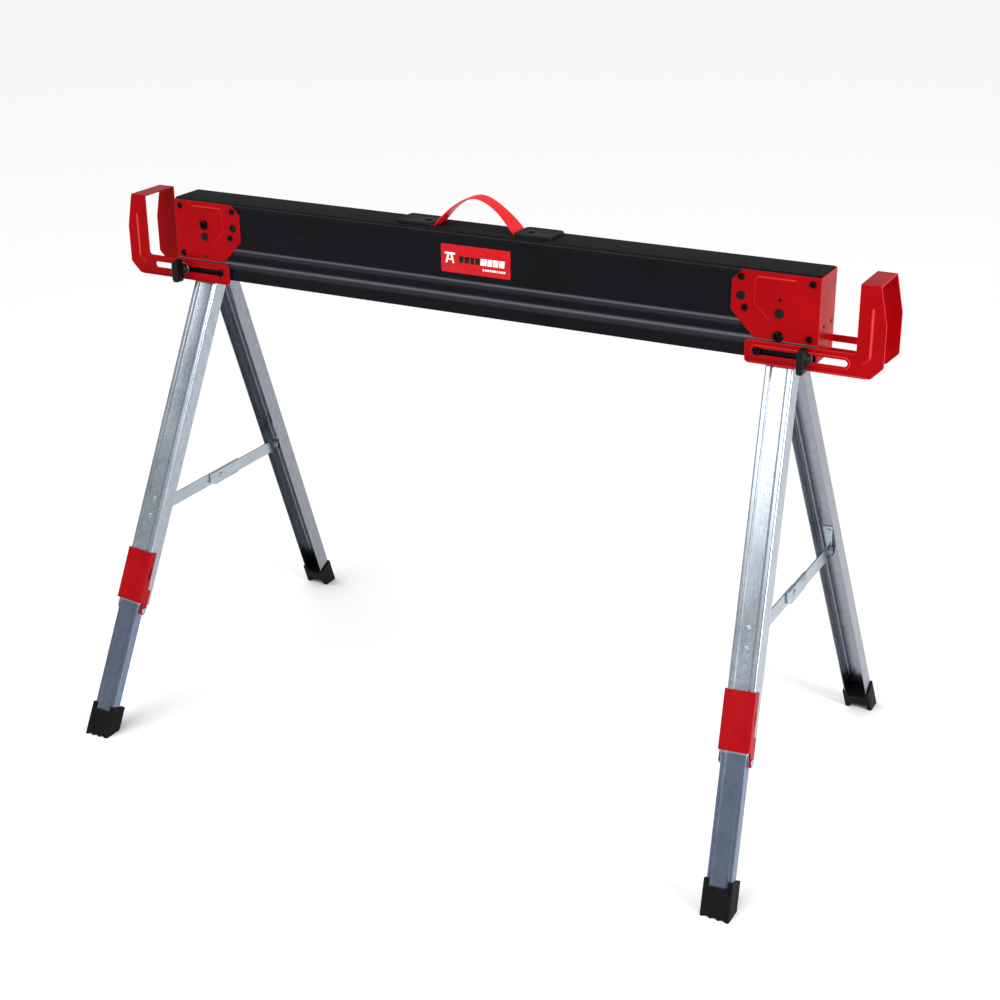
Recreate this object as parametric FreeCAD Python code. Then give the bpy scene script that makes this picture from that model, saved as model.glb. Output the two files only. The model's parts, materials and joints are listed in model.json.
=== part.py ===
import FreeCAD, Part
import math
import os
from FreeCAD import Vector

# Folding sawhorse: a pressed steel beam, two pairs of folding legs that stow inside it,
# sliding lumber supports at both ends, and a strap handle on top.
# Frame: +X along the beam, +Z up, origin on the floor under the middle of the beam. Millimetres.

# ---- beam -------------------------------------------------------------------
working_height = 770.0
beam_length = 1000.0
beam_height = 116.0
beam_width = 63.6
sheet_wall = 1.0
end_plate_wall = 1.2
end_plate_flange = 1.0
grip_thickness = 1.2
grip_margin = 3.0
top_edge_radius = 3.0
ridge_rise = 1.1
upper_ridge_drop = 72.0
upper_ridge_height = 5.0
lower_ridge_drop = 93.5
lower_ridge_height = 6.0
fit_gap = 0.3
running_fit = 0.05

# ---- end plates -------------------------------------------------------------
plate_length = 117.5
plate_bottom_drop = 90.0
plate_corner_cut_x = 33.0
plate_corner_cut_z = 34.0
plate_top_cut_x = 14.0
plate_top_cut_z = 14.0
end_face_bottom_drop = 113.0
# distance in from the end of the beam, and distance down from its top
screw_insets = ((105.0, 11.7), (10.5, 11.4), (99.0, 51.6), (11.5, 82.7))
screw_head_radius = 4.6
screw_head_height = 2.6
screw_shank_radius = 2.0
spare_hole_radius = 2.6
end_hole_radius = 2.8
end_hole_y = (-10.0, 18.0)
end_hole_drop = 70.0
end_slot_y = (-18.0, 18.0)
end_slot_drop = 98.0
end_slot_half = (1.6, 4.5)

# ---- leg pivots -------------------------------------------------------------
pivot_inset = 52.5
fold_drop = {"left": 36.5, "right": 84.5}
spread_pin_drop = 90.0
foot_overhang = 2.0
spread_angle = 24.02
fold_bolt_radius = 4.0
fold_head_radius = 7.0
fold_head_height = 4.0
fold_nut_radius = 8.0
fold_nut_height = 3.0
bush_radius = 7.0
bush_flange_radius = 9.5
bush_flange = 1.0
spread_pin_radius = 4.0
pin_head_height = 1.4

# ---- yoke that carries each pair of legs --------------------------------------
yoke_leg_gap = 0.75
yoke_side_gap = 1.7
yoke_wall = 2.0
yoke_top = {"left": 18.0, "right": 25.0}
yoke_below_pin = 22.0

# ---- legs -------------------------------------------------------------------
leg_width = 38.5
leg_nest_gap = 0.55
leg_wall = 1.2
leg_half_depth = 13.0
leg_top = 12.0
web_recess = 2.0
recess_margin = 7.25
recess_slope = 2.5
rear_lip_trim = 10.5
rear_lip_start = 70.0
rear_lip_full = 110.0
top_round_radius = 11.4
front_web_end = 541.0
front_ear_end = 558.0
ear_front = 8.0
ear_back = -6.0
extension_top = 440.0
leg_floor_gap = 8.47
extension_tip = -3.0
extension_gap = 0.4
extension_side_gap = 0.35

# ---- feet -------------------------------------------------------------------
foot_cover = 33.0
foot_blank = 34.0
foot_notch = 10.0
foot_notch_half = 13.0
foot_side = 0.95
foot_outer = 14.4
foot_inner = -13.6
foot_fit = 0.1
foot_void_height = 12.0
foot_void_half = 13.5
foot_wall = 3.0
tread_pitch = 11.0
tread_radius = 5.0
tread_depth = 2.4

# ---- folding brace ------------------------------------------------------------
brace_r = 394.0
brace_out = -4.0
link_width = 20.0
link_wall = 2.2
link_gap = 0.4
clip_width = 24.0
clip_inner_end = 45.0
clip_outer_end = 28.0
clip_lip = 3.0
clip_taper = 7.0
brace_pin_radius = 4.0
brace_head_radius = 6.5
brace_head_height = 1.6
ear_wall = 2.0
ear_radius = 9.0
bracket_half_width = 8.0
bracket_top = 372.0
bracket_bottom = 414.0
bracket_wall = 1.5
bracket_rivets = (380.0, 406.5)
rear_bracket_raise = 12.0
rivet_radius = 2.2
rivet_head_radius = 4.0
rivet_head_height = 1.6
rivet_inner_radius = 3.2
rivet_inner_height = 1.0

# ---- latch collar on the adjustable legs ----------------------------------------
collar_top = 459.5
collar_bottom = 538.0
collar_wall = 1.5
collar_gap = 0.9
collar_side_gap = 0.6
collar_side_depth = 15.0
collar_pivot_r = 550.0
collar_pivot_out = 1.0
collar_ear_half = 6.5
collar_pin_radius = 3.0
collar_pin_head = 4.6
collar_slot_r = (484.0, 502.0)
collar_slot_out = (5.0, 8.0)

# ---- sliding lumber supports ------------------------------------------------------
arm_gap = 1.6
arm_wall = 1.6
arm_inset = 95.5
arm_top_drop = 92.0
arm_bottom_drop = 122.4
arm_strip_drop = 2.0
lumber_gap = 51.0
upright_top_reach = 77.0
upright_bulge_reach = 87.0
upright_bulge_drop = 51.5
upright_chamfer_reach = 71.0
upright_chamfer_drop = 106.0
arm_corner = 5.0
slot_drop = 106.0
slot_inset = 85.0
slot_reach = 41.0
slot_half = 4.5
emboss_rise = 0.9
emboss_margin = 3.2
arm_lip = 1.8
guide_inset = 79.0
guide_radius = 3.9
guide_head_radius = 5.6
guide_head_height = 3.0
guide_collar_radius = 6.5
knob_inset = 13.0
clamp_bolt_radius = 3.9
clamp_washer_radius = 9.0
clamp_washer_height = 1.4
knob_hub_radius = 9.0
knob_hub_height = 6.0
knob_bar_half_width = 5.4
knob_bar_half_height = 17.0
knob_bar_depth = 17.0
knob_bore_depth = 14.0

# ---- buttons and stops ------------------------------------------------------------
lock_button_drop = 54.6
button_radius = 6.0
button_rise = 1.6
stop_inset = 104.7
stop_drop = 36.5
stop_rise = 0.8

# ---- handle and label ---------------------------------------------------------------
handle_half_span = 62.5
handle_rise = 45.0
arch_power = 1.75
arch_steps = 10
strap_half_width = 12.0
strap_end_half_width = 17.0
strap_waist = 32.0
strap_thickness = 2.5
strap_tab = 42.0
clamp_half_width = 22.5
clamp_start = 63.5
clamp_end = 121.0
clamp_thickness = 2.4
handle_rivet_x = 80.0
grip_seam_x = 124.0
grip_seam = 0.3
handle_rivet_radius = 5.0
label_x = (-43.5, 64.2)
label_drops = (57.8, 18.4)
label_thickness = 0.5

# ---- values worked out from the ones above -------------------------------------------
plate_outer_y = beam_width / 2
beam_outer_y = plate_outer_y - end_plate_wall
beam_inner_y = beam_outer_y - sheet_wall
beam_bottom_z = working_height - beam_height
beam_top_z = working_height - grip_thickness
beam_end_x = beam_length / 2
beam_half = beam_end_x - end_plate_wall
flange_x = beam_half - end_plate_flange
plate_inner_x = beam_end_x - plate_length
side_sign = {"left": -1.0, "right": 1.0}


def below_top(drop):
    """Height of a point that lies a given distance below the working surface."""
    return working_height - drop


upper_ridge_z = below_top(upper_ridge_drop)
lower_ridge_z = below_top(lower_ridge_drop)
plate_bottom_z = below_top(plate_bottom_drop)
end_face_bottom_z = below_top(end_face_bottom_drop)
screw_points = [(beam_end_x - inset, below_top(drop)) for inset, drop in screw_insets]
end_hole_z = below_top(end_hole_drop)
end_slot_z = below_top(end_slot_drop)
label_z = [below_top(drop) for drop in label_drops]

pivot_x = beam_end_x - pivot_inset
fold_z = {side: below_top(drop) for side, drop in fold_drop.items()}
spread_pin_z = below_top(spread_pin_drop)
foot_centre_x = beam_end_x + foot_overhang
spread = math.radians(spread_angle)
yoke_half_x = leg_width / 2 + yoke_leg_gap + yoke_wall
yoke_half_y = beam_inner_y - yoke_side_gap
rear_leg_width = leg_width - 2 * leg_wall - 2 * leg_nest_gap
recess_outer = leg_width / 2 - recess_margin
recess_inner = recess_outer - recess_slope
leg_end = spread_pin_z / math.cos(spread) - leg_floor_gap
foot_top = leg_end - foot_cover
foot_blank_end = leg_end + foot_blank
foot_half_width = leg_width / 2 + foot_side

arm_inner_y = plate_outer_y + arm_gap
arm_outer_y = arm_inner_y + arm_wall
arm_inner_x = beam_end_x - arm_inset
arm_top_z = below_top(arm_top_drop)
arm_bottom_z = below_top(arm_bottom_drop)
arm_top_strip = below_top(arm_strip_drop)
arm_upright_x = beam_end_x + lumber_gap
arm_upright_top_x = beam_end_x + upright_top_reach
arm_bulge_x = beam_end_x + upright_bulge_reach
arm_bulge_z = below_top(upright_bulge_drop)
arm_chamfer_x = beam_end_x + upright_chamfer_reach
arm_chamfer_z = below_top(upright_chamfer_drop)
slot_z = below_top(slot_drop)
slot_ends = (beam_end_x - slot_inset, beam_end_x + slot_reach)
guide_x = beam_end_x - guide_inset
knob_x = beam_end_x - knob_inset
lock_button_z = below_top(lock_button_drop)
button_inner_end = beam_inner_y + fit_gap
stop_x = beam_end_x - stop_inset
stop_z = below_top(stop_drop)

x_axis = Vector(1, 0, 0)
y_axis = Vector(0, 1, 0)
z_axis = Vector(0, 0, 1)


# ---- small geometry helpers ------------------------------------------------------------
def block(x_range, y_range, z_range):
    """A box between two limits along each axis."""
    size = [high - low for low, high in (x_range, y_range, z_range)]
    corner = Vector(x_range[0], y_range[0], z_range[0])
    return Part.makeBox(size[0], size[1], size[2], corner)


def rod(start, direction, radius, length):
    """A round bar from a point along a direction."""
    return Part.makeCylinder(radius, length, start, direction)


def prism(points, axis, low, high):
    """A flat outline stretched along one axis; the outline lies in the other two, in X, Y, Z order."""
    if axis == "X":
        corners = [Vector(low, a, b) for a, b in points]
    elif axis == "Y":
        corners = [Vector(a, low, b) for a, b in points]
    else:
        corners = [Vector(a, b, low) for a, b in points]
    stretch = {"X": x_axis, "Y": y_axis, "Z": z_axis}[axis] * (high - low)
    return Part.Face(Part.makePolygon(corners + corners[:1])).extrude(stretch)


def stadium(x_range, z, radius, y_low, y_high):
    """A slot shape with round ends, lying along X and going through along Y."""
    middle = block((x_range[0] + radius, x_range[1] - radius), (y_low, y_high), (z - radius, z + radius))
    ends = [rod(Vector(x, y_low, z), y_axis, radius, y_high - y_low)
            for x in (x_range[0] + radius, x_range[1] - radius)]
    return middle.fuse(ends).removeSplitter()


def rounded(shape, axis, radius, keep):
    """Rounds the edges that run along one axis and that keep() picks by their middle point."""
    edges = []
    for edge in shape.Edges:
        if isinstance(edge.Curve, Part.Line):
            along = edge.tangentAt(edge.FirstParameter).dot(axis)
            if abs(abs(along) - 1) < 1e-6 and keep(edge.CenterOfMass):
                edges.append(edge)
    return shape.makeFillet(radius, edges)


def mirrored(shape, side):
    """The right-hand shape, or its mirror image at the left end of the beam."""
    if side == "right":
        return shape
    return shape.mirror(Vector(0, 0, 0), x_axis)


def both_faces(make):
    """The solids that one function makes for the front face and for the rear face."""
    return [make(-1.0), make(1.0)]


def group(solids):
    """Separate solids kept together in one sub-part."""
    return Part.makeCompound(solids)


def placed(shape, origin, x_dir, y_dir, z_dir):
    """Moves a shape from its own frame to the frame with the given axes."""
    matrix = FreeCAD.Matrix(x_dir.x, y_dir.x, z_dir.x, origin.x,
                            x_dir.y, y_dir.y, z_dir.y, origin.y,
                            x_dir.z, y_dir.z, z_dir.z, origin.z,
                            0, 0, 0, 1)
    moved = shape.copy()
    moved.transformShape(matrix)
    return moved


def save(name, shape):
    """Writes one sub-part."""
    shape.exportStep("parts/" + name + ".step")


# ---- frames of the leg pairs --------------------------------------------------------------
def lean(side):
    """How far a pair of legs leans outwards along the beam."""
    return math.atan((foot_centre_x - pivot_x) / fold_z[side])


def fold_point(side):
    """Where the fold axis crosses the middle plane of the beam."""
    return Vector(side_sign[side] * pivot_x, 0, fold_z[side])


def pair_axes(side):
    """Axes of a pair of legs: across the leg, front to rear, and up along the leg."""
    angle = lean(side)
    sign = side_sign[side]
    across = Vector(math.cos(angle), 0, sign * math.sin(angle))
    up = Vector(-sign * math.sin(angle), 0, math.cos(angle))
    return across, y_axis, up


def pin_drop(side):
    """Distance from the fold axis down to the spread pin, along the leg."""
    return (fold_z[side] - spread_pin_z) / math.cos(lean(side))


def to_pair(shape, side):
    """From the pair's own frame, with its origin on the fold axis."""
    return placed(shape, fold_point(side), *pair_axes(side))


def to_brace(shape, side):
    """From the pair's own frame, with its origin on the spread pin."""
    across, depth, up = pair_axes(side)
    return placed(shape, fold_point(side) - up * pin_drop(side), across, depth, up)


def to_leg(shape, side, face):
    """From a leg's own frame (X across, Y outwards, Z up, origin on the spread pin)."""
    across, depth, up = pair_axes(side)
    outwards = depth * (face * math.cos(spread)) + up * math.sin(spread)
    leg_up = up * math.cos(spread) - depth * (face * math.sin(spread))
    origin = fold_point(side) - up * pin_drop(side)
    return placed(shape, origin, across * face, outwards, leg_up)


# ---- beam -----------------------------------------------------------------------------------
def beam_shell():
    """Inverted channel with two pressed ridges along each side."""
    outer = block((-beam_half, beam_half), (-beam_outer_y, beam_outer_y), (beam_bottom_z, beam_top_z))
    outer = rounded(outer, x_axis, top_edge_radius, lambda p: p.z > beam_top_z - 1)
    inner = block((-beam_half - 1, beam_half + 1), (-beam_inner_y, beam_inner_y),
                  (beam_bottom_z - 1, beam_top_z - sheet_wall))
    inner = rounded(inner, x_axis, top_edge_radius - sheet_wall, lambda p: p.z > beam_bottom_z)
    shell = outer.cut(inner)
    upper_end = plate_inner_x + plate_corner_cut_x * (upper_ridge_z - plate_bottom_z) / plate_corner_cut_z
    for z, height, reach in ((upper_ridge_z, upper_ridge_height, upper_end - upper_ridge_height),
                             (lower_ridge_z, lower_ridge_height, flange_x - fit_gap)):
        for face in (-1.0, 1.0):
            root_y = face * (beam_outer_y - sheet_wall / 2)
            crest_y = face * (beam_outer_y + ridge_rise)
            outline = ((root_y, z - height / 2 - sheet_wall), (root_y, z + height / 2 + sheet_wall),
                       (crest_y, z + height / 4), (crest_y, z - height / 4))
            shell = shell.fuse(prism(outline, "X", -reach, reach))
    holes = []
    for side in ("left", "right"):
        sign = side_sign[side]
        for face in (-1.0, 1.0):
            start_y = face * (beam_inner_y - 1)
            through = Vector(0, face, 0)
            holes.append(rod(Vector(sign * pivot_x, start_y, fold_z[side]), through,
                             fold_bolt_radius, 4))
            holes.append(rod(Vector(sign * guide_x, start_y, slot_z), through, guide_radius, 4))
            holes.append(rod(Vector(sign * knob_x, start_y, slot_z), through, clamp_bolt_radius, 4))
            for x, z in screw_points:
                holes.append(rod(Vector(sign * x, start_y, z), through, screw_shank_radius, 4))
        holes.append(rod(Vector(sign * pivot_x, -beam_inner_y + 1, lock_button_z), -y_axis,
                         button_radius + fit_gap, 4))
    for sign in (-1.0, 1.0):
        holes.append(rod(Vector(sign * handle_rivet_x, 0, beam_top_z - 4), z_axis, screw_shank_radius, 8))
    return shell.cut(holes).removeSplitter()


def grip_strip(x_range):
    """A length of anti-slip sheet on top of the beam."""
    half = beam_outer_y - grip_margin
    return block(x_range, (-half, half), (beam_top_z, working_height))


def grip_end(side):
    """The strip between the handle and one end of the beam."""
    return mirrored(grip_strip((grip_seam_x + grip_seam, beam_half)), side)


def grip_surface():
    """The middle strip, with holes for the handle rivets."""
    sheet = grip_strip((-grip_seam_x, grip_seam_x))
    holes = [rod(Vector(sign * handle_rivet_x, 0, beam_top_z - 1), z_axis, screw_shank_radius, 4)
             for sign in (-1.0, 1.0)]
    return sheet.cut(holes)


def end_plate(side):
    """Wrap-around plate: front cheek, end face and rear cheek in one pressing."""
    top = beam_top_z - top_edge_radius / 3
    low_x = plate_inner_x
    outline = ((beam_end_x, top), (low_x + plate_top_cut_x, top), (low_x, top - plate_top_cut_z),
               (low_x, plate_bottom_z + plate_corner_cut_z), (low_x + plate_corner_cut_x, plate_bottom_z),
               (beam_end_x, plate_bottom_z))
    cheek = prism(outline, "Y", -plate_outer_y, plate_outer_y)
    end_face = block((flange_x, beam_end_x), (-plate_outer_y, plate_outer_y),
                     (end_face_bottom_z, plate_bottom_z + 1))
    solid = cheek.fuse(end_face)
    core = block((0, beam_half), (-beam_outer_y, beam_outer_y), (0, beam_top_z + 1))
    solid = solid.cut(core).removeSplitter()
    solid = rounded(solid, z_axis, end_plate_wall, lambda p: p.x > beam_end_x - 0.1)
    solid = rounded(solid, y_axis, 3.0, lambda p: p.x < low_x + 1)
    spare_z = fold_z["left"] if side == "right" else fold_z["right"]
    holes = []
    for face in (-1.0, 1.0):
        start_y = face * (beam_outer_y - 1)
        through = Vector(0, face, 0)
        holes.append(rod(Vector(pivot_x, start_y, fold_z[side]), through, fold_bolt_radius, 4))
        holes.append(rod(Vector(pivot_x, start_y, spare_z), through, spare_hole_radius, 4))
        for x, z in screw_points:
            holes.append(rod(Vector(x, start_y, z), through, screw_shank_radius, 4))
    holes.append(rod(Vector(pivot_x, -beam_outer_y + 1, lock_button_z), -y_axis,
                     button_radius + fit_gap, 4))
    for y in end_hole_y:
        holes.append(rod(Vector(beam_half - 1, y, end_hole_z), x_axis, end_hole_radius, 4))
    for y in end_slot_y:
        holes.append(block((beam_half - 1, beam_end_x + 1), (y - end_slot_half[0], y + end_slot_half[0]),
                           (end_slot_z - end_slot_half[1], end_slot_z + end_slot_half[1])))
    return mirrored(solid.cut(holes), side)


def button_head(centre, direction, radius, height):
    """Low domed screw head on a flat face."""
    head = rod(centre, direction, radius, height)
    rim = [edge for edge in head.Edges
           if edge.Length > 1 and abs((edge.CenterOfMass - centre).dot(direction) - height) < 1e-6]
    return head.makeFillet(height * 0.45, rim)


def plate_screws(side):
    """Button-head screws that hold an end plate to the beam, front and rear."""
    solids = []
    for face in (-1.0, 1.0):
        for x, z in screw_points:
            seat = Vector(side_sign[side] * x, face * plate_outer_y, z)
            head = button_head(seat, Vector(0, face, 0), screw_head_radius, screw_head_height)
            shank = rod(seat, Vector(0, -face, 0), screw_shank_radius, end_plate_wall + sheet_wall)
            solids.append(head.fuse(shank))
    return group(solids)


def fold_bolts(side):
    """Shoulder bolts on the fold axis, one through each side wall, each with its nut."""
    nut_face = yoke_half_y - yoke_wall - bush_flange - 2 * fit_gap

    def bolt(face):
        centre = fold_point(side)
        seat = Vector(centre.x, face * plate_outer_y, centre.z)
        inwards = Vector(0, -face, 0)
        head = button_head(seat, Vector(0, face, 0), fold_head_radius, fold_head_height)
        shank = rod(seat, inwards, fold_bolt_radius, plate_outer_y - nut_face)
        nut = rod(Vector(centre.x, face * nut_face, centre.z), inwards, fold_nut_radius, fold_nut_height)
        return head.fuse([shank, nut])
    return group(both_faces(bolt))


def pivot_bushes(side):
    """Flanged bushes that turn on the fold bolts and carry the yoke."""
    inner_y = yoke_half_y - yoke_wall - bush_flange - fit_gap

    def bush(face):
        centre = fold_point(side)
        base = Vector(centre.x, face * inner_y, centre.z)
        outwards = Vector(0, face, 0)
        flange = rod(base, outwards, bush_flange_radius, bush_flange)
        sleeve = rod(base, outwards, bush_radius, bush_flange + yoke_wall + 2 * fit_gap)
        bore = rod(base - outwards, outwards, fold_bolt_radius + running_fit, 10)
        return flange.fuse(sleeve).cut(bore)
    return group(both_faces(bush))


def leg_yoke(side):
    """Square tube that swings between the beam walls and holds the spread pin."""
    low = -pin_drop(side) - yoke_below_pin
    high = yoke_top[side]
    outer = block((-yoke_half_x, yoke_half_x), (-yoke_half_y, yoke_half_y), (low, high))
    outer = rounded(outer, z_axis, 3.0, lambda p: True)
    inner_x = yoke_half_x - yoke_wall
    inner_y = yoke_half_y - yoke_wall
    inner = block((-inner_x, inner_x), (-inner_y, inner_y), (low - 1, high - yoke_wall))
    solid = outer.cut(inner)
    holes = [rod(Vector(0, -yoke_half_y - 1, 0), y_axis, bush_radius + running_fit, 2 * yoke_half_y + 2),
             rod(Vector(-yoke_half_x - 1, 0, -pin_drop(side)), x_axis, spread_pin_radius,
                 2 * yoke_half_x + 2)]
    return to_pair(solid.cut(holes), side)


def spread_pin(side):
    """Headed pin that both legs of a pair spread about."""
    shank = rod(Vector(-yoke_half_x, 0, 0), x_axis, spread_pin_radius, 2 * yoke_half_x)
    return to_brace(shank, side)


# ---- legs -------------------------------------------------------------------------------------
def leg_section(width, outer_face, tip, shift):
    """Outline of a ribbed channel: two flanges and a web with a recessed middle panel."""
    half = width / 2
    low = outer_face - web_recess
    right = [(half, tip), (half, outer_face), (recess_outer + shift, outer_face),
             (recess_inner + shift, low)]
    left = [(-x, y) for x, y in reversed(right)]
    inside_left = [(-half + leg_wall, tip), (-half + leg_wall, outer_face - leg_wall),
                   (-recess_outer - shift, outer_face - leg_wall), (-recess_inner - shift, low - leg_wall)]
    inside_right = [(-x, y) for x, y in reversed(inside_left)]
    return right + left + inside_left + inside_right


def channel(width, outer_face, tip, shift, top, bottom):
    """A length of ribbed channel, from top to bottom distances below the spread pin."""
    return prism(leg_section(width, outer_face, tip, shift), "Z", -bottom, -top)


def pin_hole(width):
    """Cutter for the spread pin's running hole."""
    return rod(Vector(-width, 0, 0), x_axis, spread_pin_radius + running_fit, 2 * width)


def bracket_raise(face):
    """How much higher than the front one the rear bracket is riveted."""
    return rear_bracket_raise if face > 0 else 0.0


def rivet_holes(face):
    """Cutters for the two rivets of a brace bracket."""
    return [rod(Vector(0, 0, bracket_raise(face) - r), y_axis, rivet_radius, leg_half_depth + 5)
            for r in bracket_rivets]


def front_leg(side):
    """Upper part of an adjustable leg."""
    solid = channel(leg_width, leg_half_depth, -leg_half_depth, 0, -leg_top, front_ear_end)
    big = leg_width
    below = (-front_ear_end - 1, -front_web_end)
    solid = solid.cut(block((-big, big), (ear_front, big), below))
    solid = solid.cut(block((-big, big), (-big, ear_back), below))
    corner = ((-big, leg_top + 1), (-big, -big + leg_top), (0, leg_top + 1))
    solid = solid.cut(prism(corner, "X", -big, big))
    latch_holes = rod(Vector(-big, collar_pivot_out, -collar_pivot_r), x_axis,
                      collar_pin_radius, 2 * big)
    solid = solid.cut([pin_hole(big), latch_holes] + rivet_holes(-1.0))
    return to_leg(solid, side, -1.0)


def rear_leg(side):
    """One-piece rear leg; its narrower flanges close inside the front leg's."""
    solid = channel(rear_leg_width, leg_half_depth, -leg_half_depth, 0, -leg_top, leg_end)
    big = rear_leg_width
    trim = ((-big, leg_top + 1), (-rear_lip_trim, leg_top + 1), (-rear_lip_trim, -rear_lip_start),
            (-leg_half_depth - 0.01, -rear_lip_full), (-big, -rear_lip_full))
    corner = block((-big, big), (-big, 0), (0, leg_top + 1))
    corner = corner.cut(rod(Vector(-big, 0, 0), x_axis, top_round_radius, 2 * big))
    solid = solid.cut([prism(trim, "X", -big, big), corner, pin_hole(big)] + rivet_holes(1.0))
    return to_leg(solid, side, 1.0)


def leg_extension(side):
    """Inner channel that slides out of an adjustable leg."""
    width = leg_width - 2 * leg_wall - 2 * extension_side_gap
    outer_face = leg_half_depth - leg_wall - extension_gap
    solid = channel(width, outer_face, extension_tip, extension_gap, extension_top, leg_end)
    return to_leg(solid, side, -1.0)


def foot(side, face):
    """Rubber cap with corner tabs, a hollow inner side and a scalloped tread."""
    if face < 0:
        width = leg_width - 2 * leg_wall - 2 * extension_side_gap
        outer_face = leg_half_depth - leg_wall - extension_gap
        tip = extension_tip
        shift = extension_gap
    else:
        width = rear_leg_width
        outer_face = leg_half_depth
        tip = -leg_half_depth
        shift = 0
    cap = block((-foot_half_width, foot_half_width), (foot_inner, foot_outer), (-foot_blank_end, -foot_top))
    cap = rounded(cap, z_axis, 2.5, lambda p: p.y > 0)
    half = width / 2 + foot_fit
    pocket = block((-half, half), (tip - foot_fit, outer_face + foot_fit), (-leg_end - foot_fit, 0))
    plug_half = width / 2 - leg_wall - foot_fit
    plug = block((-plug_half, plug_half), (foot_inner, outer_face - leg_wall - web_recess - foot_fit),
                 (-leg_end - 1, -foot_top - foot_notch))
    notch = block((-foot_notch_half, foot_notch_half), (foot_inner - 1, foot_outer + 1),
                  (-foot_top - foot_notch, 0))
    solid = cap.cut([pocket, notch]).fuse(plug)
    solid = solid.cut(channel(width + 2 * foot_fit, outer_face + foot_fit, tip - foot_fit,
                              shift, foot_top - 1, leg_end + foot_fit))
    solid = to_leg(solid, side, face)
    reach = working_height
    ground = block((-reach, reach), (-reach, reach), (-reach, 0))
    centre_x = side_sign[side] * foot_centre_x
    cutters = [ground]
    for step in (-1, 0, 1):
        centre = Vector(centre_x + step * tread_pitch, -reach, tread_depth - tread_radius)
        cutters.append(rod(centre, y_axis, tread_radius, 2 * reach))
    void_top = foot_void_height - tread_depth
    far = face * (foot_ground_y(side) + (foot_outer - foot_wall) / math.cos(spread)
                  - void_top * math.tan(spread))
    y_span = (min(0.0, far), max(0.0, far))
    cutters.append(block((centre_x - foot_void_half, centre_x + foot_void_half), y_span,
                         (-1, void_top)))
    return solid.cut(cutters)


def foot_ground_y(side):
    """Distance from the middle plane to a leg's centre line at the floor."""
    return spread_pin_z * math.tan(spread) / math.cos(lean(side))


# ---- brace ---------------------------------------------------------------------------------------
def brace_half_span():
    """Half the distance between the two brace pins when the legs are spread."""
    return brace_r * math.sin(spread) + brace_out * math.cos(spread)


def brace_height():
    """Height of the brace pins above the spread pin (negative: they are below it)."""
    return -brace_r * math.cos(spread) + brace_out * math.sin(spread)


def link_strip(y_range, x_range, half_width, z):
    """Flat strip with round ends."""
    middle = block(x_range, y_range, (z - half_width, z + half_width))
    ends = [rod(Vector(x_range[0], y, z), x_axis, half_width, x_range[1] - x_range[0]) for y in y_range]
    return middle.fuse(ends).removeSplitter()


def brace_link_front(side):
    """Link from the front leg to the middle of the brace."""
    span = brace_half_span()
    x_range = (-link_wall / 2, link_wall / 2)
    strip = link_strip((-span, 0), x_range, link_width / 2, brace_height())
    hole = rod(Vector(-link_wall, -span, brace_height()), x_axis, brace_pin_radius + running_fit,
               2 * link_wall)
    return to_brace(strip.cut(hole), side)


def brace_link_rear(side):
    """Link from the rear leg to the middle, with a wide lipped end that covers the joint."""
    span = brace_half_span()
    z = brace_height()
    low_x = link_wall / 2 + link_gap
    x_range = (low_x, low_x + link_wall)
    strip = link_strip((0, span), x_range, link_width / 2, z)
    half = clip_width / 2
    outline = ((-clip_outer_end, z - half + clip_taper), (-clip_outer_end, z + half),
               (clip_inner_end, z + half), (clip_inner_end + clip_taper, z + half - clip_taper),
               (clip_inner_end, z - half), (-clip_outer_end + 2 * clip_taper, z - half))
    clip = prism(outline, "X", *x_range)
    lip = block((low_x, x_range[1] + clip_lip), (-clip_outer_end, clip_inner_end),
                (z + half - link_wall / 2, z + half))
    button = button_head(Vector(x_range[1], 0, z), x_axis, brace_head_radius * 0.6, brace_head_height)
    hole = rod(Vector(0, span, z), x_axis, brace_pin_radius + running_fit, 4 * link_wall)
    return to_brace(strip.fuse([clip, lip, button]).cut(hole), side)


def brace_bracket(side, face):
    """Bracket riveted inside a leg's web, with one ear for a brace link."""
    seat = leg_half_depth - web_recess - leg_wall
    top = bracket_raise(face) - bracket_top
    bottom = bracket_raise(face) - bracket_bottom
    base = block((-bracket_half_width, bracket_half_width), (seat - bracket_wall, seat), (bottom, top))
    if face < 0:
        low_x = link_wall / 2 + link_gap
    else:
        low_x = 1.5 * link_wall + 2 * link_gap
    ear_range = (low_x, low_x + ear_wall)
    outline = ((seat - 0.5, top - 2), (seat - 0.5, bottom + 2),
               (brace_out, -brace_r - ear_radius), (brace_out, -brace_r + ear_radius))
    ear = prism(outline, "X", *ear_range)
    ear = ear.fuse(rod(Vector(low_x, brace_out, -brace_r), x_axis, ear_radius, ear_wall))
    holes = rivet_holes(face) + [rod(Vector(low_x - 1, brace_out, -brace_r), x_axis, brace_pin_radius, 4)]
    for r in bracket_rivets:
        foot_of_head = Vector(0, seat - bracket_wall, bracket_raise(face) - r)
        holes.append(rod(foot_of_head, -y_axis, rivet_inner_radius + fit_gap, rivet_inner_height + fit_gap))
    return to_leg(base.fuse(ear).cut(holes), side, face)


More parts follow.
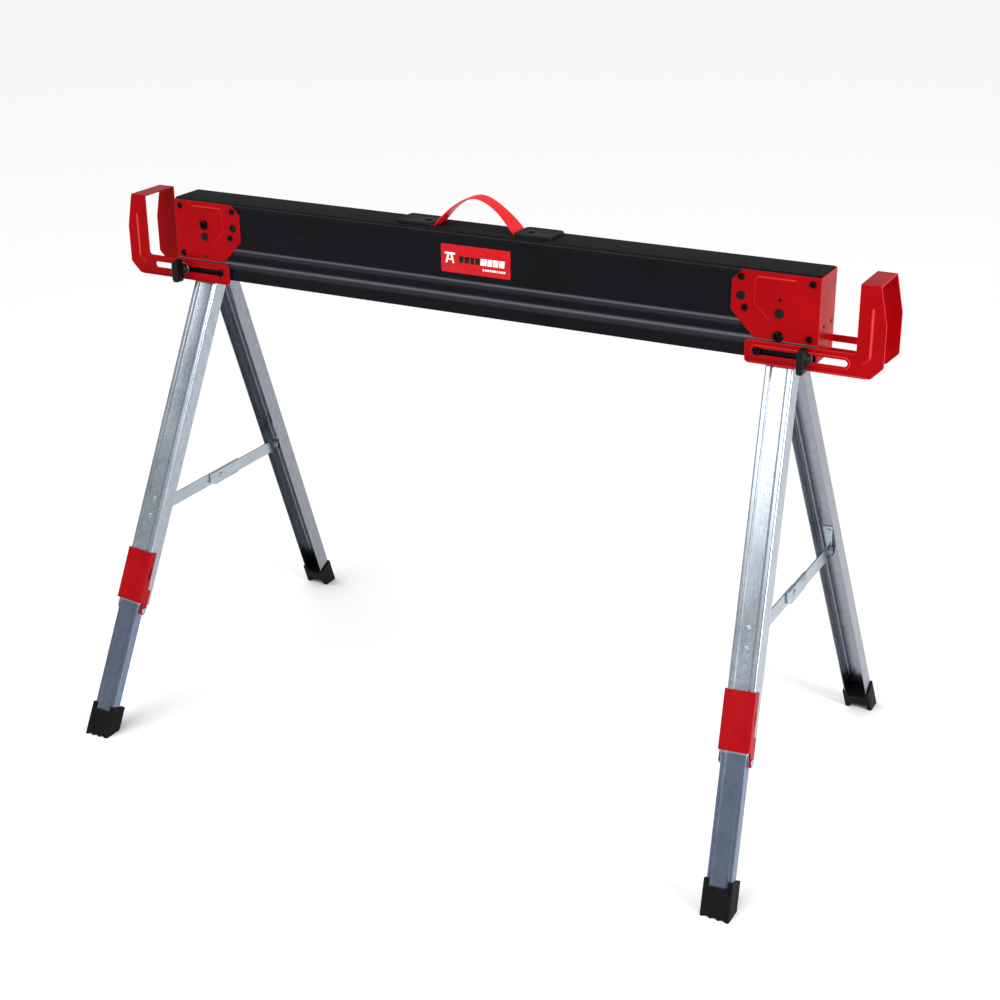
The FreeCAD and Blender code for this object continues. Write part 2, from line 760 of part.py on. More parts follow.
def bracket_rivets_for(side, face):
    """Rivets of a brace bracket and the headed pin that its link turns on."""
    seat = leg_half_depth - web_recess
    inner = seat - leg_wall - bracket_wall
    solids = []
    for r in bracket_rivets:
        z = bracket_raise(face) - r
        shank = rod(Vector(0, inner, z), y_axis, rivet_radius, leg_wall + bracket_wall)
        outer_head = button_head(Vector(0, seat, z), y_axis, rivet_head_radius, rivet_head_height)
        inner_head = button_head(Vector(0, inner, z), -y_axis, rivet_inner_radius, rivet_inner_height)
        solids.append(shank.fuse([outer_head, inner_head]))
    if face < 0:
        low_x = -link_wall / 2
        ear_end = link_wall / 2 + link_gap + ear_wall
    else:
        low_x = link_wall / 2 + link_gap
        ear_end = 1.5 * link_wall + 2 * link_gap + ear_wall
    centre = Vector(low_x, brace_out, -brace_r)
    pin = rod(centre, x_axis, brace_pin_radius, ear_end - low_x)
    head = button_head(Vector(ear_end, brace_out, -brace_r), x_axis, brace_head_radius, brace_head_height)
    solids.append(pin.fuse(head))
    return to_leg(group(solids), side, face)


# ---- latch collar -----------------------------------------------------------------------------------
def latch_collar(side):
    """Red lever cover that clamps the extension; it flips outwards about its lower ears."""
    inner_x = leg_width / 2 + collar_side_gap
    outer_x = inner_x + collar_wall
    inner_y = leg_half_depth + collar_gap
    outer_y = inner_y + collar_wall
    back_y = outer_y - collar_side_depth
    body = block((-outer_x, outer_x), (back_y, outer_y), (-collar_bottom, -collar_top))
    body = rounded(body, z_axis, collar_wall, lambda p: p.y > 0)
    ears = block((-outer_x, outer_x),
                 (collar_pivot_out - collar_ear_half, collar_pivot_out + collar_ear_half),
                 (-collar_pivot_r, -collar_bottom + 20))
    tips = rod(Vector(-outer_x, collar_pivot_out, -collar_pivot_r), x_axis, collar_ear_half, 2 * outer_x)
    body = body.fuse([ears, tips])
    core = block((-inner_x, inner_x), (-leg_width, inner_y), (-front_ear_end - 5, 0))
    body = body.cut(core)
    slots = [block((-outer_x - 1, outer_x + 1), collar_slot_out, (-collar_slot_r[1], -collar_slot_r[0]))]
    holes = [rod(Vector(-outer_x - 1, collar_pivot_out, -collar_pivot_r), x_axis,
                 collar_pin_radius + running_fit, 2 * outer_x + 2)]
    return to_leg(body.cut(slots + holes), side, -1.0)


def latch_pins(side):
    """Short headed pins in the ears of an adjustable leg that the collar flips on."""
    inner_x = leg_width / 2 - leg_wall
    outer_x = leg_width / 2 + collar_side_gap + collar_wall + fit_gap
    solids = []
    for sign in (-1.0, 1.0):
        centre = Vector(sign * inner_x, collar_pivot_out, -collar_pivot_r)
        shank = rod(centre, Vector(sign, 0, 0), collar_pin_radius, outer_x - inner_x)
        head = rod(centre + Vector(sign * (outer_x - inner_x), 0, 0), Vector(sign, 0, 0),
                   collar_pin_head, 1.2)
        solids.append(shank.fuse(head))
    return to_leg(group(solids), side, -1.0)


# ---- lumber supports -----------------------------------------------------------------------------------
def support_arm(side):
    """Bent sheet: a slotted arm and an upright on each face, joined by a strip across the top."""
    outline = ((arm_inner_x, arm_bottom_z), (arm_inner_x, arm_top_z), (arm_upright_x, arm_top_z),
               (arm_upright_x, arm_top_strip), (arm_upright_top_x, arm_top_strip),
               (arm_bulge_x, arm_bulge_z), (arm_bulge_x, arm_chamfer_z), (arm_chamfer_x, arm_bottom_z))
    solid = prism(outline, "Y", -arm_outer_y, arm_outer_y)
    solid = rounded(solid, y_axis, arm_corner, lambda p: p.z < arm_top_strip - 1)
    hollow = block((0, arm_bulge_x + 1), (-arm_inner_y, arm_inner_y), (0, arm_top_strip - arm_wall))
    solid = solid.cut(hollow)
    solid = rounded(solid, x_axis, arm_wall, lambda p: abs(p.y) > arm_outer_y - 0.1
                    and p.z > arm_top_strip - 0.1)
    for face in (-1.0, 1.0):
        y_span = sorted((face * (arm_outer_y - arm_wall / 2), face * (arm_outer_y + emboss_rise)))
        lip_span = sorted((face * (arm_outer_y - arm_wall / 2), face * (arm_outer_y + arm_lip)))
        band = stadium((slot_ends[0] - emboss_margin, slot_ends[1] + emboss_margin), slot_z,
                       slot_half + emboss_margin, *y_span)
        lip = block((arm_inner_x + arm_corner, arm_chamfer_x - arm_corner), lip_span,
                    (arm_bottom_z, arm_bottom_z + arm_wall))
        cutter = stadium(slot_ends, slot_z, slot_half, *sorted((face * (arm_inner_y - 1),
                                                                face * (arm_outer_y + 3))))
        solid = solid.fuse([band, lip]).cut(cutter)
    return mirrored(solid, side)


def guide_screws(side):
    """Shouldered screws fixed in the beam walls that guide the inner end of each arm."""
    def screw(face):
        outwards = Vector(0, face, 0)
        centre_x = side_sign[side] * guide_x
        root = Vector(centre_x, face * beam_inner_y, slot_z)
        head_y = arm_outer_y + emboss_rise + fit_gap
        shank = rod(root, outwards, guide_radius, head_y - beam_inner_y)
        shoulder = rod(Vector(centre_x, face * beam_outer_y, slot_z), outwards, guide_collar_radius,
                       arm_inner_y - fit_gap - beam_outer_y)
        head = button_head(Vector(centre_x, face * head_y, slot_z), outwards, guide_head_radius,
                           guide_head_height)
        return shank.fuse([shoulder, head])
    return group(both_faces(screw))


def clamp_bolt(side):
    """Long bolt right through the beam, with a washer at both ends, that clamps the arms."""
    centre_x = side_sign[side] * knob_x
    washer_y = arm_outer_y + emboss_rise + fit_gap
    front_end = washer_y + clamp_washer_height + fit_gap + knob_bore_depth - 2
    shank = rod(Vector(centre_x, -front_end, slot_z), y_axis, clamp_bolt_radius, front_end + washer_y)
    pieces = []
    for face in (-1.0, 1.0):
        outwards = Vector(0, face, 0)
        pieces.append(rod(Vector(centre_x, face * washer_y, slot_z), outwards, clamp_washer_radius,
                          clamp_washer_height))
        pieces.append(rod(Vector(centre_x, face * beam_outer_y, slot_z), outwards, guide_collar_radius,
                          arm_inner_y - fit_gap - beam_outer_y))
    pieces.append(button_head(Vector(centre_x, washer_y + clamp_washer_height, slot_z), y_axis,
                              guide_head_radius, guide_head_height))
    return shank.fuse(pieces)


def t_knob(side):
    """Black T-shaped knob that is screwed up to clamp the arms."""
    centre_x = side_sign[side] * knob_x
    start_y = arm_outer_y + emboss_rise + clamp_washer_height + 2 * fit_gap
    hub = rod(Vector(centre_x, -start_y, slot_z), -y_axis, knob_hub_radius, knob_hub_height + 2)
    bar_y = (-start_y - knob_hub_height - knob_bar_depth, -start_y - knob_hub_height)
    bar = block((centre_x - knob_bar_half_width, centre_x + knob_bar_half_width), bar_y,
                (slot_z - knob_bar_half_height, slot_z + knob_bar_half_height))
    bar = rounded(bar, y_axis, knob_bar_half_width * 0.6, lambda p: True)
    bore = rod(Vector(centre_x, -start_y + 1, slot_z), -y_axis, clamp_bolt_radius + running_fit,
               knob_bore_depth + 1)
    return hub.fuse(bar).cut(bore)


# ---- buttons, stops, handle, label ---------------------------------------------------------------------
def lock_button(side):
    """Push button in the front cheek that frees the folded or open legs."""
    centre = Vector(side_sign[side] * pivot_x, -button_inner_end, lock_button_z)
    return button_head(centre, -y_axis, button_radius, plate_outer_y + button_rise - button_inner_end)


def bump_stops(side):
    """Black rubber buttons on the outside of the cheeks near their inner ends."""
    def stop(face):
        seat = Vector(side_sign[side] * stop_x, face * plate_outer_y, stop_z)
        return button_head(seat, Vector(0, face, 0), button_radius, stop_rise)
    return group(both_faces(stop))


def arch_face(half_span, rise):
    """Flat face under an arch that flattens towards its top."""
    points = []
    for step in range(-arch_steps, arch_steps + 1):
        share = step / arch_steps
        height = rise * (1 - abs(share) ** arch_power)
        points.append(Vector(half_span * share, 0, working_height + height))
    curve = Part.BSplineCurve()
    curve.interpolate(points)
    base = Part.LineSegment(points[-1], points[0])
    return Part.Face(Part.Wire([curve.toShape(), base.toShape()]))


def handle_strap():
    """Arched flexible strap with a flat tab at each end, wider towards the tabs."""
    half = strap_end_half_width
    outer = arch_face(handle_half_span, handle_rise)
    inner = arch_face(handle_half_span - strap_thickness, handle_rise - strap_thickness)
    arch = outer.cut(inner).Faces[0]
    arch.translate(Vector(0, -half, 0))
    solids = [arch.extrude(Vector(0, 2 * half, 0))]
    for sign in (-1.0, 1.0):
        x_span = sorted((sign * (handle_half_span - 1.5 * strap_thickness),
                         sign * (handle_half_span + strap_tab)))
        solids.append(block(x_span, (-half, half), (working_height, working_height + strap_thickness)))
    strap = solids[0].fuse(solids[1:]).removeSplitter()
    reach = handle_half_span + strap_tab
    edge = [(-reach, half), (-handle_half_span, half), (-strap_waist, strap_half_width),
            (strap_waist, strap_half_width), (handle_half_span, half), (reach, half)]
    plan = edge + [(x, -y) for x, y in reversed(edge)]
    strap = strap.common(prism(plan, "Z", working_height - 1, working_height + handle_rise + 1))
    holes = [rod(Vector(sign * handle_rivet_x, 0, working_height - 1), z_axis, screw_shank_radius, 6)
             for sign in (-1.0, 1.0)]
    return strap.cut(holes)


def handle_clamps():
    """Flat caps riveted over the strap's tabs, hollow underneath where the strap passes."""
    solids = []
    height = strap_thickness + clamp_thickness
    for sign in (-1.0, 1.0):
        x_span = sorted((sign * clamp_start, sign * clamp_end))
        cap = block(x_span, (-clamp_half_width, clamp_half_width), (working_height, working_height + height))
        cap = rounded(cap, z_axis, 5.0, lambda p: True)
        tunnel_x = sorted((sign * (clamp_start - 1), sign * (handle_half_span + strap_tab + fit_gap)))
        tunnel = block(tunnel_x, (-strap_end_half_width - fit_gap, strap_end_half_width + fit_gap),
                       (working_height - 1, working_height + strap_thickness))
        hole = rod(Vector(sign * handle_rivet_x, 0, working_height), z_axis, screw_shank_radius, 9)
        solids.append(cap.cut([tunnel, hole]))
    return group(solids)


def handle_rivets():
    """Rivets through cap, strap, grip sheet and beam."""
    solids = []
    seat_z = working_height + strap_thickness + clamp_thickness
    for sign in (-1.0, 1.0):
        seat = Vector(sign * handle_rivet_x, 0, seat_z)
        head = button_head(seat, z_axis, handle_rivet_radius, 1.4)
        shank = rod(seat, -z_axis, screw_shank_radius, seat_z - beam_top_z + sheet_wall)
        solids.append(head.fuse(shank))
    return group(solids)


def label_plate():
    """Thin blank name plate on the front of the beam."""
    return block(label_x, (-beam_outer_y - label_thickness, -beam_outer_y), label_z)


# ---- write every sub-part ---------------------------------------------------------------------
os.makedirs("parts", exist_ok=True)
save("beam_shell", beam_shell())
save("grip_surface", grip_surface())
save("handle_strap", handle_strap())
save("handle_clamps", handle_clamps())
save("handle_rivets", handle_rivets())
save("label_plate", label_plate())
side_parts = {"grip_strip": grip_end, "end_plate": end_plate, "plate_screws": plate_screws,
              "fold_bolts": fold_bolts,
              "pivot_bushes": pivot_bushes, "leg_yoke": leg_yoke, "spread_pin": spread_pin,
              "front_leg": front_leg, "rear_leg": rear_leg, "leg_extension": leg_extension,
              "brace_link_front": brace_link_front, "brace_link_rear": brace_link_rear,
              "latch_collar": latch_collar, "latch_pins": latch_pins, "support_arm": support_arm,
              "guide_screws": guide_screws, "clamp_bolt": clamp_bolt, "t_knob": t_knob,
              "lock_button": lock_button, "bump_stops": bump_stops}
face_parts = {"foot": foot, "brace_bracket": brace_bracket, "bracket_rivets": bracket_rivets_for}
for side in ("left", "right"):
    for name, make in side_parts.items():
        save(side + "_" + name, make(side))
    for name, make in face_parts.items():
        save(side + "_front_" + name, make(side, -1.0))
        save(side + "_rear_" + name, make(side, 1.0))
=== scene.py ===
import json
import math
import bpy
import bmesh
import numpy as np
from mathutils import Matrix, Vector

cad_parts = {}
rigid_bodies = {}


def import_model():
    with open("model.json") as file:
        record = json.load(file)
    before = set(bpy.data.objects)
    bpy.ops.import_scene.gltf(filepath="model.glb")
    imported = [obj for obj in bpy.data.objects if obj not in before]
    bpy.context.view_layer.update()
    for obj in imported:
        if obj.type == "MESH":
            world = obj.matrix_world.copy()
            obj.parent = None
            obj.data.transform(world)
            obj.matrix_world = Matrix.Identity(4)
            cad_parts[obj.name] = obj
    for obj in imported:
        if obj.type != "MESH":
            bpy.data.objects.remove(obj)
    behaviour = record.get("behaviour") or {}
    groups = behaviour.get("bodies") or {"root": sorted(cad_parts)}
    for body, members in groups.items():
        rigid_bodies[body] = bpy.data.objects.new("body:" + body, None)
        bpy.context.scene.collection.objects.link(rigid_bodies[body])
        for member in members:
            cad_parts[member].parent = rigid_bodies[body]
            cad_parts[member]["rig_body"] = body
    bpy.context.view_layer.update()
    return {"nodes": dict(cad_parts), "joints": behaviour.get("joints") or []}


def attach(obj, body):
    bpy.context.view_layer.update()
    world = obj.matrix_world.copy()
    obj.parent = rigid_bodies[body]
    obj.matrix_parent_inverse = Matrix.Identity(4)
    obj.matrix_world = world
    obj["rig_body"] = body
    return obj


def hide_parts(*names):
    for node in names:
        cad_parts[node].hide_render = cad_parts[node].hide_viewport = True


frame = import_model()
joints = {joint["name"]: joint for joint in frame["joints"]}
mm = 0.001
# each end of the beam with the direction in which it lies along X
sides = {"left": -1.0, "right": 1.0}
print("frame loaded:", len(frame["nodes"]), "nodes")


def hexColour(text):
    # sRGB hex to linear light: c/12.92 below 0.04045, else ((c+0.055)/1.055)^2.4
    parts = [int(text[i:i + 2], 16) / 255 for i in (1, 3, 5)]
    return tuple(c / 12.92 if c <= 0.04045 else ((c + 0.055) / 1.055) ** 2.4 for c in parts) + (1.0,)


def addNode(tree, kind, inputs=None, links=None, **settings):
    # one shader node with its own settings, its constant inputs and the outputs that feed the others
    node = tree.nodes.new(kind)
    for key, value in settings.items():
        setattr(node, key, value)
    for key, value in (inputs or {}).items():
        node.inputs[key].default_value = value
    for key, source in (links or {}).items():
        tree.links.new(source, node.inputs[key])
    return node


def newSurface(name, settings):
    # a surface whose constant inputs are set straight on its shader, and the coordinates for its patterns
    material = bpy.data.materials.new(name)
    material.use_nodes = True
    tree = material.node_tree
    shader = tree.nodes["Principled BSDF"]
    for key, value in settings.items():
        shader.inputs[key].default_value = value
    place = addNode(tree, "ShaderNodeTexCoord").outputs["Object"]
    return material, tree, shader, place


def scaled(tree, place, sizesMm):
    # pattern coordinates in which one unit is one feature of the given size along each axis
    scale = [1 / (size * mm) for size in sizesMm]
    return addNode(tree, "ShaderNodeMapping", {"Scale": scale}, {"Vector": place}).outputs["Vector"]


def fractal(tree, vector, detail=4.0, rough=0.55):
    # layered noise, 0 to 1, about one feature to each unit of the vector
    return addNode(tree, "ShaderNodeTexNoise", {"Scale": 1.0, "Detail": detail, "Roughness": rough},
                   {"Vector": vector}).outputs["Fac"]


def remap(tree, value, low, high, toLow, toHigh):
    # low..high stretched to toLow..toHigh, and held there beyond the ends
    return addNode(tree, "ShaderNodeMapRange",
                   {"From Min": low, "From Max": high, "To Min": toLow, "To Max": toHigh},
                   {"Value": value}).outputs["Result"]


def mixColours(tree, factor, first, second):
    # first where the factor is 0, second where it is 1; either is a colour or a node's output
    node = addNode(tree, "ShaderNodeMix", data_type="RGBA")
    tree.links.new(factor, node.inputs[0])
    for socket, value in ((6, first), (7, second)):
        if isinstance(value, tuple):
            node.inputs[socket].default_value = value
        else:
            tree.links.new(value, node.inputs[socket])
    return node.outputs[2]


def bumpFrom(tree, height, strength, distanceMm):
    # surface normal tilted by the height pattern
    return addNode(tree, "ShaderNodeBump", {"Strength": strength, "Distance": distanceMm * mm},
                   {"Height": height}).outputs["Normal"]


def paintedSteel(name, tones, wearAndHighlightTone, settings):
    # sprayed and baked paint on sheet steel: orange peel, slow tone changes, random paler scuffs, and a
    # painted highlight, paler where the point attribute says so
    material, tree, shader, place = newSurface(name, settings["shader"])
    tone = fractal(tree, scaled(tree, place, (settings["toneMm"],) * 3), 3.0)
    body = mixColours(tree, remap(tree, tone, 0.35, 0.65, 0, 1), hexColour(tones[0]), hexColour(tones[1]))
    scratch = fractal(tree, scaled(tree, place, settings["scuffMm"]), 5.0, 0.7)
    scuffed = mixColours(tree, remap(tree, scratch, 0.66, 0.8, 0, settings["scuff"]), body,
                         hexColour(wearAndHighlightTone))
    # painted highlight: the point attribute lays the paler tone on where light catches the ridges and edges
    paintedHighlight = addNode(tree, "ShaderNodeAttribute", attribute_name="paintedHighlight").outputs["Fac"]
    highlighted = mixColours(tree, paintedHighlight, scuffed, hexColour(wearAndHighlightTone))
    tree.links.new(highlighted, shader.inputs["Base Color"])
    smear = fractal(tree, scaled(tree, place, (90, 90, 30)), 4.0)
    low, high = settings["roughness"]
    tree.links.new(remap(tree, smear, 0.3, 0.7, low, high), shader.inputs["Roughness"])
    peel = fractal(tree, scaled(tree, place, (settings["peelMm"],) * 3), 2.0, 0.5)
    tree.links.new(bumpFrom(tree, peel, settings["peel"], 0.06), shader.inputs["Normal"])
    return material


# black powder coat is the beam's half-matt skin, near black with a cool tint; red enamel is the harder
# gloss of the plates and supports, and the paler red on its broken edges is a painted highlight where they
# catch the light
blackPaint = {"toneMm": 160, "scuffMm": (60, 9, 9), "scuff": 0.12, "roughness": (0.3, 0.42), "peelMm": 1.6,
              "peel": 0.3, "shader": {"IOR": 1.5, "Specular IOR Level": 0.08}}
redPaint = {"toneMm": 70, "scuffMm": (12, 12, 12), "scuff": 0.12, "roughness": (0.24, 0.34), "peelMm": 2.2,
            "peel": 0.2, "shader": {"IOR": 1.5, "Specular IOR Level": 0.05}}
blackPowderCoat = paintedSteel("blackPowderCoat", ("#06060a", "#0a0a10"), "#5e5f66", blackPaint)
redEnamel = paintedSteel("redStoveEnamel", ("#8e0005", "#990108"), "#e8504c", redPaint)
# paler red for the broken edges: a painted highlight
redEdgeHighlight = paintedSteel("redEnamelEdgeHighlight", ("#c42426", "#d03232"), "#f0807c", redPaint)

# hot-dip zinc on rolled strip for the outer channels
zincDip = {"spangleMm": 7, "drawMm": (1.3, 1.3, 220), "tones": ("#959ea9", "#b4bdc7"),
           "roughness": (0.2, 0.3), "shader": {"Metallic": 1.0}}


def zincSteel(name, settings):
    # bright zinc on rolled strip: faint crystals, long draw lines down the piece, dull patches
    material, tree, shader, place = newSurface(name, settings["shader"])
    crystal = addNode(tree, "ShaderNodeTexVoronoi", {"Scale": 1.0},
                      {"Vector": scaled(tree, place, (settings["spangleMm"],) * 3)}, feature="F1")
    lines = fractal(tree, scaled(tree, place, settings["drawMm"]), 3.0, 0.6)
    cloud = fractal(tree, scaled(tree, place, (45, 45, 160)), 3.0)
    speck = remap(tree, crystal.outputs["Color"], 0, 1, -0.08, 0.08)
    blend = addNode(tree, "ShaderNodeMath", links={0: lines, 1: speck}, operation="ADD").outputs[0]
    half = remap(tree, blend, 0.3, 0.7, 0, 1)
    tree.links.new(mixColours(tree, half, *[hexColour(c) for c in settings["tones"]]),
                   shader.inputs["Base Color"])
    low, high = settings["roughness"]
    tree.links.new(remap(tree, cloud, 0.3, 0.7, low, high), shader.inputs["Roughness"])
    tree.links.new(bumpFrom(tree, lines, 0.12, 0.04), shader.inputs["Normal"])
    return material


# outer channels bright; the rear channels and the extensions are darker copies of the same zinc, painted
# shade, the rear ones neutral and the extensions bluer; the brace is plated, so it is paler and finer; the
# screws are blackened
galvanised = zincSteel("galvanisedSteel", zincDip)
shadedZinc = zincSteel("galvanisedSteelPaintedShade", {**zincDip, "tones": ("#7f838c", "#979ba4")})
shadedBlueZinc = zincSteel("blueZincPaintedShade", {**zincDip, "tones": ("#6a778b", "#808da2")})
brightZinc = zincSteel("brightZincPlate", {**zincDip, "spangleMm": 4, "tones": ("#98a4ad", "#b4bec6"),
                                           "roughness": (0.24, 0.34), "drawMm": (60, 60, 1.5)})
blackOxide = zincSteel("blackOxideSteel", {**zincDip, "spangleMm": 2, "tones": ("#0d0d0f", "#17171a"),
                                           "roughness": (0.25, 0.35), "drawMm": (1.0, 1.0, 1.0)})


def mouldedSkin(name, tones, settings):
    # moulded rubber or plastic: fine spark texture, scuffed tone, a little paler where it is rubbed
    material, tree, shader, place = newSurface(name, settings["shader"])
    tone = fractal(tree, scaled(tree, place, (settings["toneMm"],) * 3), 5.0)
    tree.links.new(mixColours(tree, remap(tree, tone, 0.3, 0.75, 0, 1), hexColour(tones[0]),
                              hexColour(tones[1])), shader.inputs["Base Color"])
    low, high = settings["roughness"]
    tree.links.new(remap(tree, tone, 0.3, 0.7, low, high), shader.inputs["Roughness"])
    grain = fractal(tree, scaled(tree, place, (settings["grainMm"],) * 3), 3.0, 0.6)
    tree.links.new(bumpFrom(tree, grain, settings["grain"], 0.12), shader.inputs["Normal"])
    return material


# feet and bump stops of matt rubber; knobs and push buttons of glass-filled nylon, a little glossier; the
# handle's caps of softer charcoal nylon; strap of red vinyl; latch collars of moulded red nylon
blackRubber = mouldedSkin("blackRubber", ("#080809", "#141415"),
                          {"toneMm": 14, "grainMm": 0.9, "grain": 0.5, "roughness": (0.5, 0.66),
                           "shader": {"IOR": 1.52, "Specular IOR Level": 0.07}})
blackNylon = mouldedSkin("blackGlassNylon", ("#06070a", "#0e1014"),
                         {"toneMm": 10, "grainMm": 0.7, "grain": 0.35, "roughness": (0.34, 0.46),
                          "shader": {"IOR": 1.53, "Specular IOR Level": 0.12}})
greyNylon = mouldedSkin("charcoalNylon", ("#0a0a0c", "#131316"),
                        {"toneMm": 16, "grainMm": 1.0, "grain": 0.5, "roughness": (0.42, 0.55),
                         "shader": {"IOR": 1.53, "Specular IOR Level": 0.12}})
redVinyl = mouldedSkin("redVinylStrap", ("#cf0a12", "#e01c22"),
                       {"toneMm": 30, "grainMm": 1.3, "grain": 0.4, "roughness": (0.34, 0.46),
                        "shader": {"IOR": 1.5, "Specular IOR Level": 0.3}})
redNylon = mouldedSkin("redMouldedNylon", ("#8e010b", "#9b0610"),
                       {"toneMm": 25, "grainMm": 1.1, "grain": 0.25, "roughness": (0.3, 0.4),
                        "shader": {"IOR": 1.53, "Specular IOR Level": 0.08}})


def gripTape():
    # mineral grit on tape, drawn at 1.4 mm so that it shows: dark matt ground with paler grains
    material, tree, shader, place = newSurface("mineralGripTape", {"IOR": 1.45, "Specular IOR Level": 0.2})
    grit = addNode(tree, "ShaderNodeTexVoronoi", {"Scale": 1.0},
                   {"Vector": scaled(tree, place, (1.4, 1.4, 1.4))}, feature="F1")
    grains = remap(tree, grit.outputs["Distance"], 0.1, 0.55, 1, 0)
    dust = fractal(tree, scaled(tree, place, (60, 25, 25)), 5.0)
    ground = mixColours(tree, remap(tree, dust, 0.35, 0.7, 0, 1), hexColour("#08090a"),
                        hexColour("#101112"))
    sparkle = remap(tree, grit.outputs["Color"], 0.75, 0.95, 0, 0.6)
    tree.links.new(mixColours(tree, sparkle, ground, hexColour("#2c2e30")), shader.inputs["Base Color"])
    tree.links.new(remap(tree, dust, 0.3, 0.7, 0.72, 0.9), shader.inputs["Roughness"])
    tree.links.new(bumpFrom(tree, grains, 0.8, 0.35), shader.inputs["Normal"])
    return material


gritTape = gripTape()


def printedVinyl(name, tone):
    # screen-printed vinyl film: smooth, faintly uneven ink
    material, tree, shader, place = newSurface(name, {"IOR": 1.5, "Specular IOR Level": 0.18})
    ink = fractal(tree, scaled(tree, place, (5, 5, 5)), 4.0)
    colour = hexColour(tone)
    paler = tuple(min(1.0, c * 1.12 + 0.004) for c in colour[:3]) + (1.0,)
    tree.links.new(mixColours(tree, remap(tree, ink, 0.35, 0.65, 0, 1), colour, paler),
                   shader.inputs["Base Color"])
    tree.links.new(remap(tree, ink, 0.3, 0.7, 0.28, 0.36), shader.inputs["Roughness"])
    tree.links.new(bumpFrom(tree, ink, 0.1, 0.03), shader.inputs["Normal"])
    return material


redPrint = printedVinyl("redPrintedVinyl", "#b5040f")
whitePrint = printedVinyl("whiteInk", "#f0eeee")
blackPrint = printedVinyl("blackInk", "#0c0506")
print("materials made:", len(bpy.data.materials))


def joinArrays(parts):
    # several (points, faces) sets as one, each face list moved up by the points before it
    points, faces, start = [], [], 0
    for p, f in parts:
        points.append(p)
        faces += [[i + start for i in face] for face in f]
        start += len(p)
    return np.concatenate(points), faces


def makePiece(name, points, faces, material, body, slot, replaced=(), smooth=35, paintedHighlight=None):
    # a piece from points in mm; the optional value to each point is a painted highlight, saying where its
    # paint is drawn paler
    mesh = bpy.data.meshes.new(name)
    mesh.from_pydata((np.asarray(points, float) * mm).tolist(), [], faces)
    if paintedHighlight is not None:
        mesh.attributes.new("paintedHighlight", "FLOAT", "POINT").data.foreach_set("value", np.asarray(paintedHighlight, np.float32))
    mesh.validate()
    edit = bmesh.new()
    edit.from_mesh(mesh)
    bmesh.ops.remove_doubles(edit, verts=edit.verts, dist=1e-6)
    bmesh.ops.recalc_face_normals(edit, faces=edit.faces)
    edit.to_mesh(mesh)
    edit.free()
    return dress(bpy.data.objects.new(name, mesh), material, body, replaced, smooth)


def dress(piece, material, body, replaced, smooth, bevelMm=0):
    # material, soft shading below the given angle, optional small bevel, and the calls that place the piece
    bpy.context.scene.collection.objects.link(piece)
    piece.data.materials.clear()
    piece.data.materials.append(material)
    piece.data.shade_smooth()
    piece.data.set_sharp_from_angle(angle=math.radians(smooth))
    if bevelMm:
        bevel = piece.modifiers.new("edgeBreak", "BEVEL")
        bevel.width = bevelMm * mm
        bevel.segments = 2
        bevel.limit_method = "ANGLE"
        bevel.angle_limit = math.radians(40)
        bevel.harden_normals = True
    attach(piece, body)
    if replaced:
        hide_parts(*replaced)
    return piece


def bodyOf(node):
    # the moving body that the node belongs to
    return frame["nodes"][node]["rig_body"]


def softCopy(node, material, bevelMm=0.35, edgeHighlightMaterial=None, smooth=35):
    # the node's own shape with doubles merged, flat faces joined, and its edges broken; the broken edges
    # may have a material of their own, a paler painted highlight
    mesh = frame["nodes"][node].data.copy()
    edit = bmesh.new()
    edit.from_mesh(mesh)
    bmesh.ops.remove_doubles(edit, verts=edit.verts, dist=2e-6)
    bmesh.ops.dissolve_limit(edit, angle_limit=math.radians(1.0), verts=edit.verts, edges=edit.edges)
    edit.to_mesh(mesh)
    edit.free()
    piece = bpy.data.objects.new(node + "_finish", mesh)
    dress(piece, material, bodyOf(node), (node,), smooth, bevelMm)
    if edgeHighlightMaterial:
        piece.data.materials.append(edgeHighlightMaterial)
        piece.modifiers["edgeBreak"].material = 1
    return piece


def ringFaces(count, around):
    # quads between rows of points; count rows of around points each, every row closed on itself
    rows, cols = np.meshgrid(np.arange(count - 1), np.arange(around), indexing="ij")
    nextCol = (cols + 1) % around
    quads = np.stack([rows * around + cols, rows * around + nextCol,
                      (rows + 1) * around + nextCol, (rows + 1) * around + cols], -1)
    return quads.reshape(-1, 4).tolist()


def closedRings(count, around):
    # the same quads with the first and last rows filled in
    last = (count - 1) * around
    return ringFaces(count, around) + [list(range(around))[::-1], [last + i for i in range(around)]]


def roundedPath(points, radius, steps=5):
    # each inner corner is swapped for an arc: tangent length = radius * tan(turn / 2)
    points = np.asarray(points, float)
    radii = np.broadcast_to(radius, (len(points),))
    out = [points[:1]]
    for before, corner, after, r in zip(points[:-2], points[1:-1], points[2:], radii[1:-1]):
        a = (before - corner) / np.linalg.norm(before - corner)
        b = (after - corner) / np.linalg.norm(after - corner)
        halfTurn = (math.pi - math.acos(np.clip(a @ b, -1, 1))) / 2
        reach = r * math.tan(halfTurn)
        centre = corner + (a + b) / np.linalg.norm(a + b) * math.hypot(reach, r)
        start, end = corner + a * reach, corner + b * reach
        first = start - centre
        turn = np.linspace(0, 2 * halfTurn, steps + 1)[:, None]
        side = (end - centre) - first * math.cos(2 * halfTurn)
        side = side / max(np.linalg.norm(side), 1e-9) * r
        out.append(centre + first * np.cos(turn) + side * np.sin(turn))
    out.append(points[-1:])
    return np.concatenate(out)


def offsetPath(path, distance):
    # each point moves along its mean normal, lengthened by 1/cos(half turn) so that walls stay even
    step = np.diff(path, axis=0)
    step = step / np.linalg.norm(step, axis=1)[:, None]
    normal = np.stack([step[:, 1], -step[:, 0]], 1)
    mean = np.concatenate([normal[:1], normal[:-1] + normal[1:], normal[-1:]])
    mean = mean / np.linalg.norm(mean, axis=1)[:, None]
    match = np.concatenate([normal[:1], normal])
    return path + mean * (distance / np.sum(mean * match, 1))[:, None]


